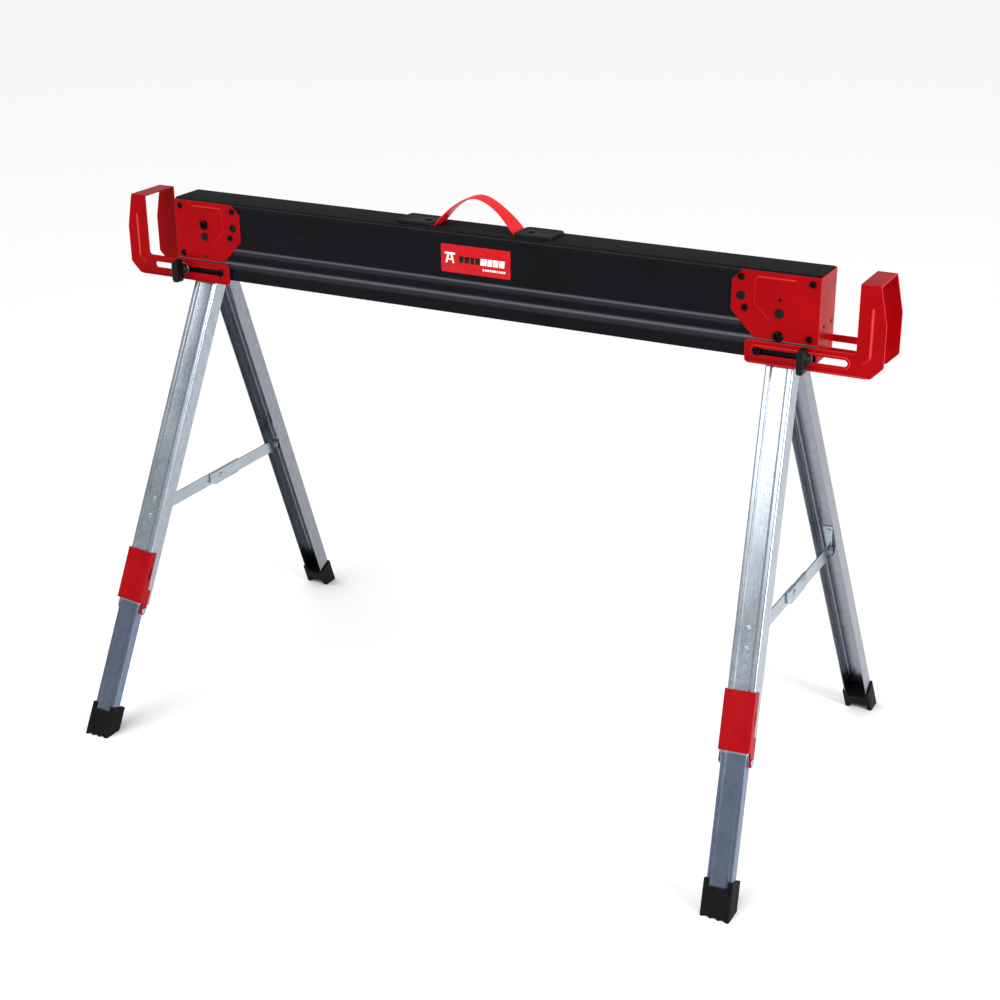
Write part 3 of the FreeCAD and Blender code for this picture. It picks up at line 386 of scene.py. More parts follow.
def bentSheet(path, wall, stations, shape, place):
    # a sheet of even wall bent along path and carried along the stations. shape(across, out, station)
    # gives the three local coordinates of every point, and place turns them to the row's frame
    ring = np.concatenate([offsetPath(path, wall / 2), offsetPath(path, -wall / 2)[::-1]])
    across, station = np.broadcast_arrays(ring[None, :, 0], np.asarray(stations, float)[:, None])
    out = np.broadcast_to(ring[None, :, 1], across.shape)
    points = place(*shape(across, out, station)).reshape(-1, 3)
    rows, around = across.shape
    faces = ringFaces(rows, around)
    low = np.arange(around // 2 - 1)
    cap = np.stack([low, low + 1, around - 2 - low, around - 1 - low], -1)
    faces += cap.tolist() + (cap + (rows - 1) * around)[:, ::-1].tolist()
    return points, faces


def turned(profile, seats, direction, sides=32, hexagon=None):
    # a profile (radius, height) spun about each seat; from row hexagon on, the radius follows a
    # hexagon: r / cos(angle to the nearest flat's middle)
    profile = np.asarray(profile, float)
    axis = np.asarray(direction, float)
    axis = axis / np.linalg.norm(axis)
    helper = np.array([0, 0, 1.0]) if abs(axis[2]) < 0.9 else np.array([1.0, 0, 0])
    u = np.cross(helper, axis)
    u = u / np.linalg.norm(u)
    v = np.cross(axis, u)
    angle = np.arange(sides) * 2 * math.pi / sides
    radius = np.repeat(profile[:, :1], sides, 1)
    if hexagon is not None:
        flat = np.cos((angle % (math.pi / 3)) - math.pi / 6)
        radius[hexagon:] = radius[hexagon:] / flat * math.cos(math.pi / 6)
    circle = np.cos(angle)[:, None] * u + np.sin(angle)[:, None] * v
    unit = radius[..., None] * circle + profile[:, 1][:, None, None] * axis
    parts = []
    for seat in seats:
        parts.append((unit.reshape(-1, 3) + np.asarray(seat, float), closedRings(len(profile), sides)))
    return joinArrays(parts)


def buttonProfile(radius, height, socket=0.45, depth=0.5, rootDepth=1.5):
    # domed head: quarter ellipse from the rim up, then down into a hexagon socket
    turn = np.linspace(0, math.radians(62), 7)
    dome = np.stack([radius * np.cos(turn), height * (0.25 + 0.75 * np.sin(turn) / math.sin(turn[-1]))], 1)
    inner = radius * socket
    start = [(radius * 0.6, -rootDepth), (radius * 0.98, -0.05), (radius, height * 0.12)]
    well = [(inner, height), (inner, height * (1 - depth)), (inner * 0.3, height * (1 - depth) - 0.25)]
    return np.concatenate([start, dome, well]), len(start) + len(dome)


def ridge(path, width, height, normal, samples=9):
    # a pressed swelling: height * cos^2 across its width, and it fades as a half circle at both ends
    path = np.asarray(path, float)
    normal = np.asarray(normal, float)
    length = np.concatenate([[0], np.cumsum(np.linalg.norm(np.diff(path, axis=0), axis=1))])
    along = np.gradient(path, axis=0)
    along = along / np.linalg.norm(along, axis=1)[:, None]
    side = np.cross(along, normal)
    share = np.linspace(-1, 1, samples)
    toEnd = np.clip(np.minimum(length, length[-1] - length) / width, 0, 1)
    fade = np.sqrt(1 - (1 - toEnd) ** 2)
    across = side[:, None] * (share * width / 2)[None, :, None] * (0.25 + 0.75 * fade)[:, None, None]
    lift = (np.cos(share * math.pi / 2) ** 2)[None] * (height * fade)[:, None] - 0.12
    top = path[:, None] + across + lift[..., None] * normal
    base = path[:, None] + across[:, ::-1] - 0.45 * normal
    rings = np.concatenate([top, base], 1)
    return rings.reshape(-1, 3), closedRings(*rings.shape[:2])


# each painted highlight is a paler line: its height, its strength, its width and how far it reaches from
# the middle
beam = {"halfLength": 498.8, "outer": 30.6, "bottom": 654.0, "top": 768.8, "wall": 1.0, "corner": 2.6,
        "upperZ": 698.0, "upperHalf": 5.0, "lowerZ": 676.5, "lowerHalf": 6.0, "rise": 1.7,
        "upperEnd": 396.0, "buttonX": 447.5, "buttonZ": 715.4, "hole": 6.2,
        "highlightLines": ((701.4, 0.62, 1.5, 398), (697.0, 0.12, 3.0, 398), (680.6, 0.7, 1.9, 600),
                 (675.5, 0.14, 3.4, 600), (767.4, 0.42, 0.9, 600))}


def makeBeam():
    # inverted U whose side walls swell outwards as smooth steps: rise * s^2(3-2s), s = 1 - |z-zc|/half
    mid = beam["outer"] - beam["wall"] / 2
    zs = np.concatenate([[beam["bottom"]], np.linspace(668, 706, 77), [716, 740, 760]])
    left = np.stack([np.full_like(zs, -mid), zs], 1)
    topZ = beam["top"] - beam["wall"] / 2
    corner = roundedPath([(-mid, 762), (-mid, topZ), (0, topZ)], beam["corner"], 6)[1:-1]
    half = np.concatenate([left, corner, [(-15, topZ)]])
    path = np.concatenate([half, half[::-1] * (-1, 1)])
    stations = np.array([-beam["halfLength"], -beam["upperEnd"] - 3, -beam["upperEnd"] + 3, 0,
                         beam["upperEnd"] - 3, beam["upperEnd"] + 3, beam["halfLength"]])

    def shape(across, out, station):
        bump = np.zeros_like(across)
        for z, halfHeight, reach in ((beam["upperZ"], beam["upperHalf"], beam["upperEnd"]),
                                     (beam["lowerZ"], beam["lowerHalf"], 1e3)):
            share = np.clip((1 - np.abs(out - z) / halfHeight) * 1.6, 0, 1)
            bump += share ** 2 * (3 - 2 * share) * (np.abs(station) < reach)
        return station, across + np.sign(across) * beam["rise"] * bump, out

    points, faces = bentSheet(path, beam["wall"], stations, shape, lambda x, y, z: np.stack([x, y, z], -1))
    # painted highlight: the paint is drawn paler on the upper shoulder of each ridge and along the top
    # edge: exp(-((z - shoulder) / width)^2)
    z, outside = points[:, 2], np.abs(points[:, 1]) > mid + 0.1
    paintedHighlight = np.zeros(len(points))
    for shoulder, strength, width, reach in beam["highlightLines"]:
        paintedHighlight += strength * np.exp(-((z - shoulder) / width) ** 2) * (np.abs(points[:, 0]) < reach)
    shell = makePiece("beamShell", points, faces, blackPowderCoat, "beam", "black_paint",
                      ("beam_shell",), 30, paintedHighlight=paintedHighlight * outside)
    drillHoles(shell, [(sign * beam["buttonX"], 0, beam["buttonZ"]) for sign in sides.values()])


def drillHoles(piece, starts):
    # round holes for the push buttons, from the middle plane out through the front wall
    points, faces = turned([(beam["hole"], 10), (beam["hole"], 60)], starts, (0, -1, 0), 48)
    mesh = bpy.data.meshes.new("drill")
    mesh.from_pydata((points * mm).tolist(), [], faces)
    drill = bpy.data.objects.new("drill", mesh)
    bpy.context.scene.collection.objects.link(drill)
    cut = piece.modifiers.new("holes", "BOOLEAN")
    cut.object = drill
    cut.solver = "EXACT"
    drilled = bpy.data.meshes.new_from_object(piece.evaluated_get(bpy.context.evaluated_depsgraph_get()))
    piece.modifiers.remove(cut)
    piece.data = drilled
    drilled.set_sharp_from_angle(angle=math.radians(30))
    bpy.data.objects.remove(drill)


makeBeam()


grip = {"half": 27.6, "bottom": 768.75, "top": 770.0, "edge": 1.0, "halfLength": 498.4}


def makeGrip():
    # thin tape: a rounded rectangle in section, carried along the beam
    h, low, top, r = grip["half"], grip["bottom"], grip["top"], grip["edge"]
    section = np.array([(-h, low), (h, low), (h, top - r * 0.7), (h - r * 0.4, top - r * 0.15),
                        (h - r, top), (-h + r, top), (-h + r * 0.4, top - r * 0.15), (-h, top - r * 0.7)])
    xs = np.linspace(-grip["halfLength"], grip["halfLength"], 21)
    points = np.concatenate([np.column_stack([np.full(len(section), x), section]) for x in xs])
    strips = tuple(name for name in frame["nodes"] if "grip" in name)
    makePiece("gripTape", points, closedRings(len(xs), len(section)), gritTape, "beam", "grip", strips,
              25)


makeGrip()
print("beam done")


strap = {"span": 61.2, "rise": 42.4, "power": 1.75, "thick": 2.6, "waist": 12.0, "foot": 16.8,
         "tab": 42.0, "baseZ": 770.0, "easeFrom": 26.0, "sidePower": 0.35, "facePower": 0.6}


def makeStrap():
    # centre line z = base + rise * (1 - |x/span|^power), then flat tabs; the width eases from waist to
    # foot, and the section is a flat oval with edges drawn thin
    s = strap
    half = np.linspace(0, 1, 45)
    arch = np.column_stack([s["span"] * half, s["rise"] * (1 - half ** s["power"])])
    tab = np.column_stack([np.linspace(s["span"] + 3, s["span"] + s["tab"], 8), np.zeros(8)])
    right = np.concatenate([arch[:-1], [(s["span"] - 0.4, 0.5), (s["span"] + 0.9, 0.05)], tab])
    line = np.concatenate([(right * (-1, 1))[::-1], right[1:]])
    along = np.gradient(line, axis=0)
    along = along / np.linalg.norm(along, axis=1)[:, None]
    normal = np.column_stack([-along[:, 1], along[:, 0]])
    ease = np.clip((np.abs(line[:, 0]) - s["easeFrom"]) / (s["span"] - s["easeFrom"]), 0, 1)
    width = s["waist"] + (s["foot"] - s["waist"]) * ease ** 2 * (3 - 2 * ease)
    turn = np.linspace(0, 2 * math.pi, 32, endpoint=False)
    acrossUnit = np.sign(np.cos(turn)) * np.abs(np.cos(turn)) ** s["sidePower"]
    thickUnit = np.sign(np.sin(turn)) * np.abs(np.sin(turn)) ** s["facePower"]
    y = width[:, None] * acrossUnit[None]
    lift = thickUnit[None] * s["thick"] / 2 + s["thick"] / 2
    x = line[:, :1] + normal[:, :1] * lift
    z = s["baseZ"] + line[:, 1:] + normal[:, 1:] * lift
    points = np.stack([x, y, z], -1).reshape(-1, 3)
    makePiece("handleStrap", points, closedRings(*x.shape), redVinyl, "beam", "red_plastic",
              ("handle_strap",), 50)


makeStrap()

clampCap = {"start": 63.5, "end": 121.0, "halfWidth": 22.5, "height": 4.9, "corner": 6.0, "rim": 1.6,
            "dish": 0.8, "rivetX": 80.0, "rivetRadius": 5.2, "riser": 1.4}


def roundedRectangle(halfX, halfY, corner, count=12):
    # outline of a rectangle whose corners are quarter circles
    turn = np.linspace(0, math.pi / 2, count)
    parts = []
    for k, (sx, sy) in enumerate(((1, 1), (-1, 1), (-1, -1), (1, -1))):
        angle = turn + k * math.pi / 2
        centre = np.array([sx * (halfX - corner), sy * (halfY - corner)])
        parts.append(centre + corner * np.column_stack([np.cos(angle), np.sin(angle)]))
    return np.concatenate(parts)


def stackedOutline(outline, levels, centre):
    # the outline shrunk by each level's inset and lifted to its height, closed at both ends
    rings = []
    size = np.abs(outline).max(0)
    for inset, height in levels:
        rings.append(np.column_stack([outline * (1 - inset / size), np.full(len(outline), height)]))
    return np.concatenate(rings) + np.asarray(centre, float), closedRings(len(levels), len(outline))


def makeClamps():
    # a cap with a rounded rim and a dished top over each end of the strap, and a hollow-headed rivet in it
    c = clampCap
    parts = []
    halfX = (c["end"] - c["start"]) / 2
    outline = roundedRectangle(halfX, c["halfWidth"], c["corner"])
    levels = ((0, 0), (0, c["height"] - c["rim"]), (0.35, c["height"] - 0.5), (1.1, c["height"] - 0.08),
              (1.8, c["height"]), (4.2, c["height"]), (5.2, c["height"] - c["dish"] * 0.7),
              (6.4, c["height"] - c["dish"]))
    for sign in (-1, 1):
        parts.append(stackedOutline(outline, levels, (sign * (c["start"] + halfX), 0, strap["baseZ"])))
    points, faces = joinArrays(parts)
    makePiece("handleClamps", points, faces, greyNylon, "beam", "black_plastic", ("handle_clamps",), 35)
    seats = [(sign * c["rivetX"], 0, strap["baseZ"] + c["height"] - c["dish"]) for sign in (-1, 1)]
    r = c["rivetRadius"]
    dome = [(r * 0.5, -3), (r, -0.1), (r, 0.5), (r * 0.9, 1.1), (r * 0.6, c["riser"]),
            (r * 0.42, c["riser"]), (r * 0.36, 0.7), (r * 0.1, 0.6)]
    points, faces = turned(dome, seats, (0, 0, 1))
    makePiece("handleRivets", points, faces, blackOxide, "beam", "zinc_steel", ("handle_rivets",), 40)


makeClamps()
print("handle done")


label = {"x": (-43.5, 64.2), "z": (712.2, 751.6), "y": -30.6, "thick": 0.5, "corner": 1.6, "ink": 0.06,
         "blockStart": -15.5, "blockGap": 1.5, "blocks": (7.0, 7.6, 6.2, 6.8, 9.4, 7.2, 7.8, 7.8)}


def flatPatch(outline, y, thick, lean=0.15):
    # an outline in X and Z raised towards -Y, its rim leaning in a little
    middle = outline.mean(0)
    rings = [outline, outline, middle + (outline - middle) * (1 - lean / 20)]
    depths = [0.1, -thick * 0.7, -thick]
    points = np.concatenate([np.column_stack([r[:, 0], np.full(len(r), y + d), r[:, 1]])
                             for r, d in zip(rings, depths)])
    return points, closedRings(len(rings), len(outline))


def slantedBar(x0, x1, z0, z1, slant=0.0):
    # four corners of a bar whose top is shifted sideways by the slant
    return np.array([(x0, z0), (x1, z0), (x1 + slant, z1), (x0 + slant, z1)], float)


def makeLabel():
    # printed film on the front of the beam, with its inks as thin patches on it
    lo, hi = label["x"], label["z"]
    halfX, halfZ = (lo[1] - lo[0]) / 2, (hi[1] - hi[0]) / 2
    centre = np.array([lo[0] + halfX, hi[0] + halfZ])
    outline = roundedRectangle(halfX, halfZ, label["corner"], 6) + centre
    points, faces = flatPatch(outline, label["y"], label["thick"] - label["ink"])
    makePiece("labelFilm", points, faces, redPrint, "beam", "label", ("label_plate",), 30)
    top = label["y"] - label["thick"] + label["ink"]
    # a plain trestle sign and rows of blocks where wording would be
    sign = [slantedBar(-37.5, -21.5, 737.6, 740.4), slantedBar(-36.5, -33.7, 725.5, 737.6, 3.0),
            slantedBar(-25.5, -22.7, 725.5, 737.6, -3.0), slantedBar(-32.6, -26.6, 729.8, 731.6)]
    widths = label["blocks"]
    starts = label["blockStart"] + np.concatenate([[0], np.cumsum(np.array(widths) + label["blockGap"])])
    rows = [slantedBar(x, x + w, 727.2, 736.6, 0.8) for x, w in zip(starts, widths)]
    small = [slantedBar(x, x + 2.4, 719.6, 722.4, 0.3) for x in np.arange(21.5, 57.0, 3.6)]
    black, white = rows[:4], sign + rows[4:] + small
    for name, ink, shapes in (("labelWhiteInk", whitePrint, white), ("labelBlackInk", blackPrint, black)):
        points, faces = joinArrays([flatPatch(s, top, label["ink"]) for s in shapes])
        makePiece(name, points, faces, ink, "beam", "label", (), 30)


makeLabel()
print("label done")


leg = {"frontWidth": 38.5, "rearWidth": 35.0, "wall": 1.2, "halfDepth": 13.0, "above": 12.0,
       "recess": 2.0, "ribOuter": 12.2, "ribInner": 9.6, "bend": 2.2, "ribBend": 1.3,
       "frontWebEnd": 541.0, "earCentre": 550.0, "earRadius": 8.0, "end": 736.0,
       "earOut": 1.0, "earHalf": 7.0, "topSlope": 1.026, "topStep": 1.0, "taperOut": -8.0,
       "extensionTop": 440.0, "extensionGap": 0.4, "sideGap": 0.35, "extensionTip": -3.0,
       "flangeFrom": 16.0, "rearTip": 10.5, "taperFrom": 70.0, "taperTo": 110.0, "topRound": 11.4}


def legPlacer(side, face):
    # local x across, out away from the middle, z up the leg, from the joints' own pins and axes
    pin = np.array(joints[side + "_front_spread"]["pos_m"]) / mm
    across = np.array(joints[side + "_front_spread"]["axis"]) * face
    up = np.array(joints[side + "_leg_extend"]["axis"]) * (1, -face, 1)
    up = up / np.linalg.norm(up)
    out = np.cross(up, across)

    def place(x, o, z):
        x, o, z = np.broadcast_arrays(x, o, z)
        return pin + x[..., None] * across + o[..., None] * out + z[..., None] * up
    return place


def channelPath(width, outer, tip):
    # middle line of a leg's section: two flanges, and a web with a shallow recess between two ribs
    half = width / 2 - leg["wall"] / 2
    face = outer - leg["wall"] / 2
    low = face - leg["recess"]
    right = [(half, tip), (half, face), (leg["ribOuter"], face), (leg["ribInner"], low)]
    corners = right + [(-x, y) for x, y in reversed(right)]
    bends = [0, leg["bend"], leg["ribBend"], leg["ribBend"], leg["ribBend"], leg["ribBend"], leg["bend"], 0]
    path = roundedPath(corners, np.array(bends) + 1e-3, 4)
    return path[::-1]


def makeLegs(side):
    # channels: z runs straight from a top cut to a bottom cut that depend on the place in the section
    place = legPlacer(side, -1)
    depth = leg["halfDepth"]

    def frontShape(across, out, share):
        top = np.minimum(leg["above"], leg["above"] + leg["topStep"] + leg["topSlope"] * out)
        ear = np.sqrt(np.clip(leg["earRadius"] ** 2 - (out - leg["earOut"]) ** 2, 0, None))
        isEar = (np.abs(out - leg["earOut"]) < leg["earHalf"]) & (np.abs(across) > leg["flangeFrom"])
        bottom = np.where(isEar, -leg["earCentre"] - ear, -leg["frontWebEnd"])
        return across, out, top + (bottom - top) * share

    path = densify(channelPath(leg["frontWidth"], depth, -depth))
    points, faces = bentSheet(path, leg["wall"], np.linspace(0, 1, 12), frontShape, place)
    makePiece(side + "_frontChannel", points, faces, galvanised, side + "_front_leg", "zinc_steel",
              (side + "_front_leg",), 32)

    width = leg["frontWidth"] - 2 * leg["wall"] - 2 * leg["sideGap"]
    outer = depth - leg["wall"] - leg["extensionGap"]
    path = channelPath(width, outer, leg["extensionTip"])

    def innerShape(across, out, share):
        return across, out, -leg["extensionTop"] + (leg["extensionTop"] - leg["end"]) * share

    points, faces = bentSheet(path, leg["wall"], np.linspace(0, 1, 8), innerShape, place)
    makePiece(side + "_innerChannel", points, faces, shadedBlueZinc, side + "_extension", "zinc_steel",
              (side + "_leg_extension",), 32)

    place = legPlacer(side, 1)

    def rearShape(across, out, share):
        straight = leg["above"] - (leg["above"] + leg["end"]) * share
        squeeze = np.clip((-straight - leg["taperFrom"]) / (leg["taperTo"] - leg["taperFrom"]), 0, 1)
        line = leg["taperOut"]
        tip = (leg["rearTip"] + (depth - leg["rearTip"]) * squeeze + line) / (depth + line)
        narrow = np.where(out < line, line + (out - line) * tip, out)
        top = np.where(narrow < 0, np.sqrt(np.clip(leg["topRound"] ** 2 - narrow ** 2, 0, None)),
                       leg["above"])
        return across, narrow, np.minimum(straight, top)

    path = densify(channelPath(leg["rearWidth"], depth, -depth))
    shares = np.array([0, 0.003, 0.007, 0.012, 0.0165, 0.05, 82 / 748, 122 / 748, 0.3, 0.5, 0.75, 1.0])
    points, faces = bentSheet(path, leg["wall"], shares, rearShape, place)
    makePiece(side + "_rearChannel", points, faces, shadedZinc, side + "_rear_leg", "zinc_steel",
              (side + "_rear_leg",), 32)


def densify(path, step=1.5):
    # straight runs of a flange get points about a step apart, so that cut ends can be round
    out = [path[:1]]
    for a, b in zip(path[:-1], path[1:]):
        isFlange = min(abs(a[0]), abs(b[0])) > leg["flangeFrom"]
        count = max(1, int(round(np.linalg.norm(b - a) / step))) if isFlange else 1
        share = np.linspace(0, 1, count + 1)[1:, None]
        out.append(a + (b - a) * share)
    return np.concatenate(out)


for side in sides:
    makeLegs(side)
print("legs done")


fasteners = {"plateY": 31.8,
             "plateScrews": ((395.0, 758.3), (489.5, 758.6), (401.0, 718.4), (488.5, 687.3)),
             "plateScrewRadius": 4.6, "plateScrewHeight": 2.6, "foldRadius": 7.0, "foldHeight": 4.0,
             "guideX": 421.0, "slotZ": 664.0, "guideRadius": 5.6, "guideHeight": 3.0, "guideSeat": 36.2,
             "stopX": 395.3, "stopZ": 733.5, "buttonZ": 715.4, "buttonRadius": 6.0, "buttonInner": 29.9,
             "buttonRise": 1.6}


def bothWays(make):
    # the same thing made on the front and on the rear face
    return joinArrays([make(-1.0), make(1.0)])


def makeFasteners(side):
    # heads and shanks of screws, fold bolts and guide screws, then the rubber stops and the push button
    f = fasteners
    sign = sides[side]
    head, cut = buttonProfile(f["plateScrewRadius"], f["plateScrewHeight"])

    def plateSet(face):
        seats = [(sign * x, face * f["plateY"], z) for x, z in f["plateScrews"]]
        return turned(head, seats, (0, face, 0), 30, cut)
    makePiece(side + "_plateScrews", *bothWays(plateSet), blackOxide, "beam", "black_paint",
              (side + "_plate_screws",), 35)

    pivot = np.array(joints[side + "_leg_fold"]["pos_m"]) / mm
    bolt, cut2 = buttonProfile(f["foldRadius"], f["foldHeight"], 0.42, 0.6)

    def foldSet(face):
        outer = turned(bolt, [(pivot[0], face * f["plateY"], pivot[2])], (0, face, 0), 36, cut2)
        shank = [(4.0, -0.2), (4.0, -7.4), (8.0, -7.45), (8.0, -7.7), (7.6, -10.2), (3.0, -10.3)]
        inner = turned(shank, [(pivot[0], face * f["plateY"], pivot[2])], (0, face, 0), 36)
        return joinArrays([outer, inner])
    makePiece(side + "_foldBolts", *bothWays(foldSet), blackOxide, "beam", "black_paint",
              (side + "_fold_bolts",), 35)

    guide, cut3 = buttonProfile(f["guideRadius"], f["guideHeight"], 0.45, 0.5, 0.3)

    def guideSet(face):
        seat = [(sign * f["guideX"], face * f["guideSeat"], f["slotZ"])]
        outer = turned(guide, seat, (0, face, 0), 32, cut3)
        shank = [(3.8, -0.2), (3.8, -3.1), (6.4, -3.15), (6.4, -5.4), (3.8, -5.5), (3.8, -6.5)]
        return joinArrays([outer, turned(shank, seat, (0, face, 0), 32)])
    makePiece(side + "_guideScrews", *bothWays(guideSet), blackOxide, "beam", "black_paint",
              (side + "_guide_screws",), 35)

    def stopSet(face):
        r = f["buttonRadius"]
        flat = [(r * 0.7, -0.3), (r, 0.0), (r, 0.35), (r * 0.93, 0.7), (r * 0.7, 0.8), (r * 0.5, 0.62),
                (r * 0.1, 0.6)]
        return turned(flat, [(sign * f["stopX"], face * f["plateY"], f["stopZ"])], (0, face, 0), 32)
    makePiece(side + "_bumpStops", *bothWays(stopSet), blackRubber, "beam", "rubber",
              (side + "_bump_stops",), 40)

    r = f["buttonRadius"]
    tall = f["plateY"] + f["buttonRise"] - f["buttonInner"]
    push = [(r * 0.8, 0.02), (r, 0.2), (r, tall - 1.0), (r * 0.95, tall - 0.4), (r * 0.8, tall - 0.05),
            (r * 0.6, tall), (r * 0.45, tall - 0.25), (r * 0.1, tall - 0.35)]
    points, faces = turned(push, [(sign * abs(pivot[0]), -f["buttonInner"], f["buttonZ"])], (0, -1, 0), 36)
    makePiece(side + "_pushButton", points, faces, blackNylon, side + "_button", "rubber",
              (side + "_lock_button",), 40)


for side in sides:
    makeFasteners(side)
print("fasteners done")


knob = {"x": 487.0, "z": 664.0, "start": 37.9, "hubRadius": 9.0, "hub": 6.2, "halfWidth": 5.4,
        "halfHeight": 17.0, "depth": 17.0, "power": 0.42}


def makeKnob(side):
    # hub spun about the bolt; the bar is a flat oval |x/a|^n + |z/b|^n = 1 that narrows over its crown
    k = knob
    centre = (sides[side] * k["x"], -k["start"], k["z"])
    r = k["hubRadius"]
    hub = [(4.2, 0.05), (r - 0.6, 0.0), (r, 0.6), (r, 3.2), (r - 0.9, 4.2), (r - 1.8, k["hub"]),
           (3.0, k["hub"] + 4)]
    turn = np.linspace(0, 2 * math.pi, 48, endpoint=False)
    ox = np.sign(np.cos(turn)) * np.abs(np.cos(turn)) ** k["power"]
    oz = np.sign(np.sin(turn)) * np.abs(np.sin(turn)) ** k["power"]
    depth = np.array([0, 0.03, 0.08, 0.3, 0.55, 0.8, 0.9, 0.96, 0.99, 1.0])
    width = np.array([0.8, 0.93, 1.0, 0.97, 0.93, 0.92, 0.88, 0.78, 0.6, 0.35])
    height = np.array([0.9, 0.97, 1.0, 1.0, 0.99, 0.98, 0.95, 0.9, 0.82, 0.7])
    x = k["halfWidth"] * width[:, None] * ox[None]
    z = k["halfHeight"] * height[:, None] * oz[None]
    y = np.broadcast_to(-(k["hub"] + k["depth"] * depth)[:, None], x.shape)
    bar = np.stack([x, y, z], -1).reshape(-1, 3) + np.asarray(centre)
    points, faces = joinArrays([turned(hub, [centre], (0, -1, 0), 36),
                                (bar, closedRings(len(depth), len(turn)))])
    makePiece(side + "_clampKnob", points, faces, blackNylon, side + "_knob", "black_plastic",
              (side + "_t_knob",), 35)


for side in sides:
    makeKnob(side)
print("knobs done")


finishes = {"end_plate": (redEnamel, 0.35, redEdgeHighlight), "support_arm": (redEnamel, 0.45, redEdgeHighlight),
            "latch_collar": (redNylon, 0.5),
            "leg_yoke": (galvanised, 0.4), "spread_pin": (brightZinc, 0.3), "clamp_bolt": (brightZinc, 0.3),
            "brace_link_front": (brightZinc, 0.3), "brace_link_rear": (brightZinc, 0.3),
            "front_brace_bracket": (brightZinc, 0.25), "rear_brace_bracket": (brightZinc, 0.25),
            "front_bracket_rivets": (brightZinc, 0.2), "rear_bracket_rivets": (brightZinc, 0.2),
            "latch_pins": (brightZinc, 0.2), "front_foot": (blackRubber, 0.8),
            "rear_foot": (blackRubber, 0.8), "pivot_bushes": (brightZinc, 0.2)}
for side in sides:
    for node, finish in finishes.items():
        softCopy(side + "_" + node, *finish)
print("pressings done")


pressed = {"plateY": 31.8, "width": 3.2, "height": 0.75,
           "plateLine": ((468, 760.5), (417, 760.5), (413.5, 757), (413.5, 727), (416, 723), (436, 703.5)),
           "armLine": ((569, 740), (569, 676), (566.5, 671.5), (556, 664)), "armY": 35.0, "armWidth": 6.0,
           "armHeight": 1.1}


def walk(corners, step):
    # points a step apart along the corners
    corners = np.asarray(corners, float)
    out = [corners[:1]]
    for a, b in zip(corners[:-1], corners[1:]):
        count = max(2, int(np.linalg.norm(b - a) / step))
        out.append(a + (b - a) * np.linspace(0, 1, count + 1)[1:, None])
    return np.concatenate(out)


def makePressings(side):
    # the plates' panel lines and the supports' corner ribs
    sign = sides[side]
    for name, line, y, width, height, body in (
            ("plateRidges", pressed["plateLine"], pressed["plateY"], pressed["width"], pressed["height"],
             "beam"),
            ("armRibs", pressed["armLine"], pressed["armY"], pressed["armWidth"], pressed["armHeight"],
             side + "_support")):
        flat = walk(roundedPath(line, 3.0, 4), 1.2)

        def ribs(face):
            path = np.column_stack([sign * flat[:, 0], np.full(len(flat), face * y), flat[:, 1]])
            return ridge(path, width, height, (0, face, 0))
        points, faces = bothWays(ribs)
        # painted highlight: the crest of each line is drawn paler, most along its level top run
        level = np.clip((points[:, 2] - line[1][1] + 2) / 3, 0, 1)
        crest = np.clip((np.abs(points[:, 1]) - y) / height, 0, 1)
        makePiece(side + "_" + name, points, faces, redEnamel, body, "red_paint", (), 50,
                  paintedHighlight=crest * (0.12 + 0.5 * level))


for side in sides:
    makePressings(side)
print("pressed lines done")


studio = {"floor": "#f8f8f8", "world": 0.5, "floorHalf": 40.0}


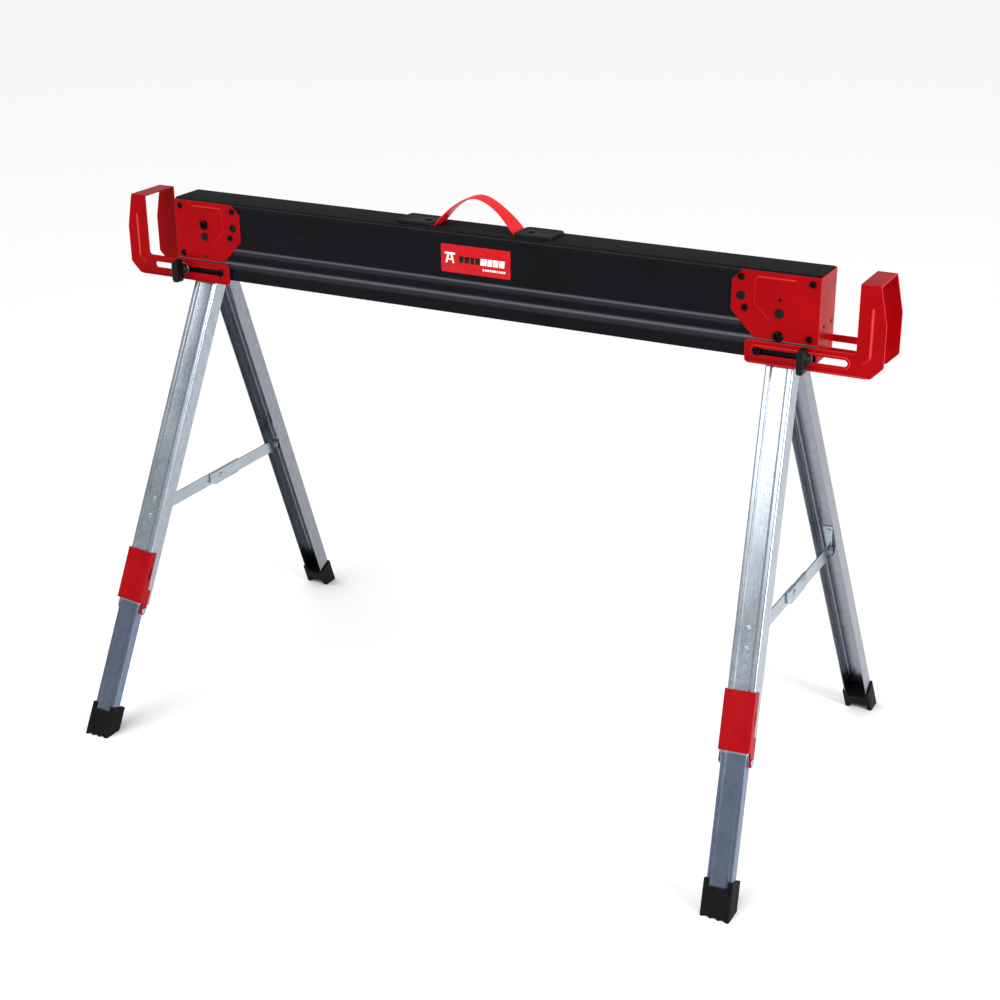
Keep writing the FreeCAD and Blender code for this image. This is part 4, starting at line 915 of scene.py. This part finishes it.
def makeStage():
    # wide pale floor under an even white surround
    mesh = bpy.data.meshes.new("floor")
    h = studio["floorHalf"]
    mesh.from_pydata([(-h, -h, 0), (h, -h, 0), (h, h, 0), (-h, h, 0)], [], [(0, 1, 2, 3)])
    floor = bpy.data.objects.new("floor", mesh)
    bpy.context.scene.collection.objects.link(floor)
    material = bpy.data.materials.new("palePaper")
    material.use_nodes = True
    shader = material.node_tree.nodes["Principled BSDF"]
    shader.inputs["Base Color"].default_value = hexColour(studio["floor"])
    shader.inputs["Roughness"].default_value = 0.95
    shader.inputs["Specular IOR Level"].default_value = 0.1
    mesh.materials.append(material)
    world = bpy.data.worlds.new("studio")
    bpy.context.scene.world = world
    world.use_nodes = True
    back = world.node_tree.nodes["Background"]
    back.inputs["Color"].default_value = (1, 1, 1, 1)
    back.inputs["Strength"].default_value = studio["world"]


aim = Vector((0, 0, 0.45))
lamps = {"sky": {"kind": "SUN", "at": (-1.0, -1.2, 3.2), "size": 0.9, "power": 1.75},
         "front": {"kind": "AREA", "at": (-0.9, -2.9, 2.25), "size": (2.4, 0.8), "power": 27},
         "right": {"kind": "AREA", "at": (3.0, -0.9, 1.3), "size": (1.0, 1.0), "power": 75}}


def makeLamps():
    # a soft sun from the upper left and two softboxes, all turned towards the aim point
    for name, s in lamps.items():
        data = bpy.data.lights.new(name, s["kind"])
        data.energy = s["power"]
        if s["kind"] == "SUN":
            data.angle = s["size"]
        else:
            data.shape = "RECTANGLE"
            data.size, data.size_y = s["size"]
        lamp = bpy.data.objects.new(name, data)
        lamp.location = s["at"]
        lamp.rotation_euler = (aim - Vector(s["at"])).to_track_quat("-Z", "Y").to_euler()
        bpy.context.scene.collection.objects.link(lamp)
    bpy.context.scene.view_settings.view_transform = "Standard"


camera = {"at": (1.13996, -2.07494, 1.35798), "yaw": 0.4918, "pitch": -0.3974, "roll": -0.0096,
          "lens": 63.086, "film": 36.0}


def makeCamera():
    # forward from yaw and pitch, then a small roll about it
    yaw, pitch, roll = camera["yaw"], camera["pitch"], camera["roll"]
    forward = Vector((-math.sin(yaw) * math.cos(pitch), math.cos(yaw) * math.cos(pitch), math.sin(pitch)))
    right = Vector((math.cos(yaw), math.sin(yaw), 0))
    up = right.cross(forward)
    rolledRight = right * math.cos(roll) + up * math.sin(roll)
    rolledUp = up * math.cos(roll) - right * math.sin(roll)
    data = bpy.data.cameras.new("camera")
    data.lens = camera["lens"]
    data.sensor_width = camera["film"]
    data.clip_end = 50
    thing = bpy.data.objects.new("camera", data)
    turn = Matrix((rolledRight, rolledUp, -forward)).transposed()
    thing.matrix_world = Matrix.Translation(camera["at"]) @ turn.to_4x4()
    bpy.context.scene.collection.objects.link(thing)
    bpy.context.scene.camera = thing


makeStage()
makeLamps()
makeCamera()
print("stage done")
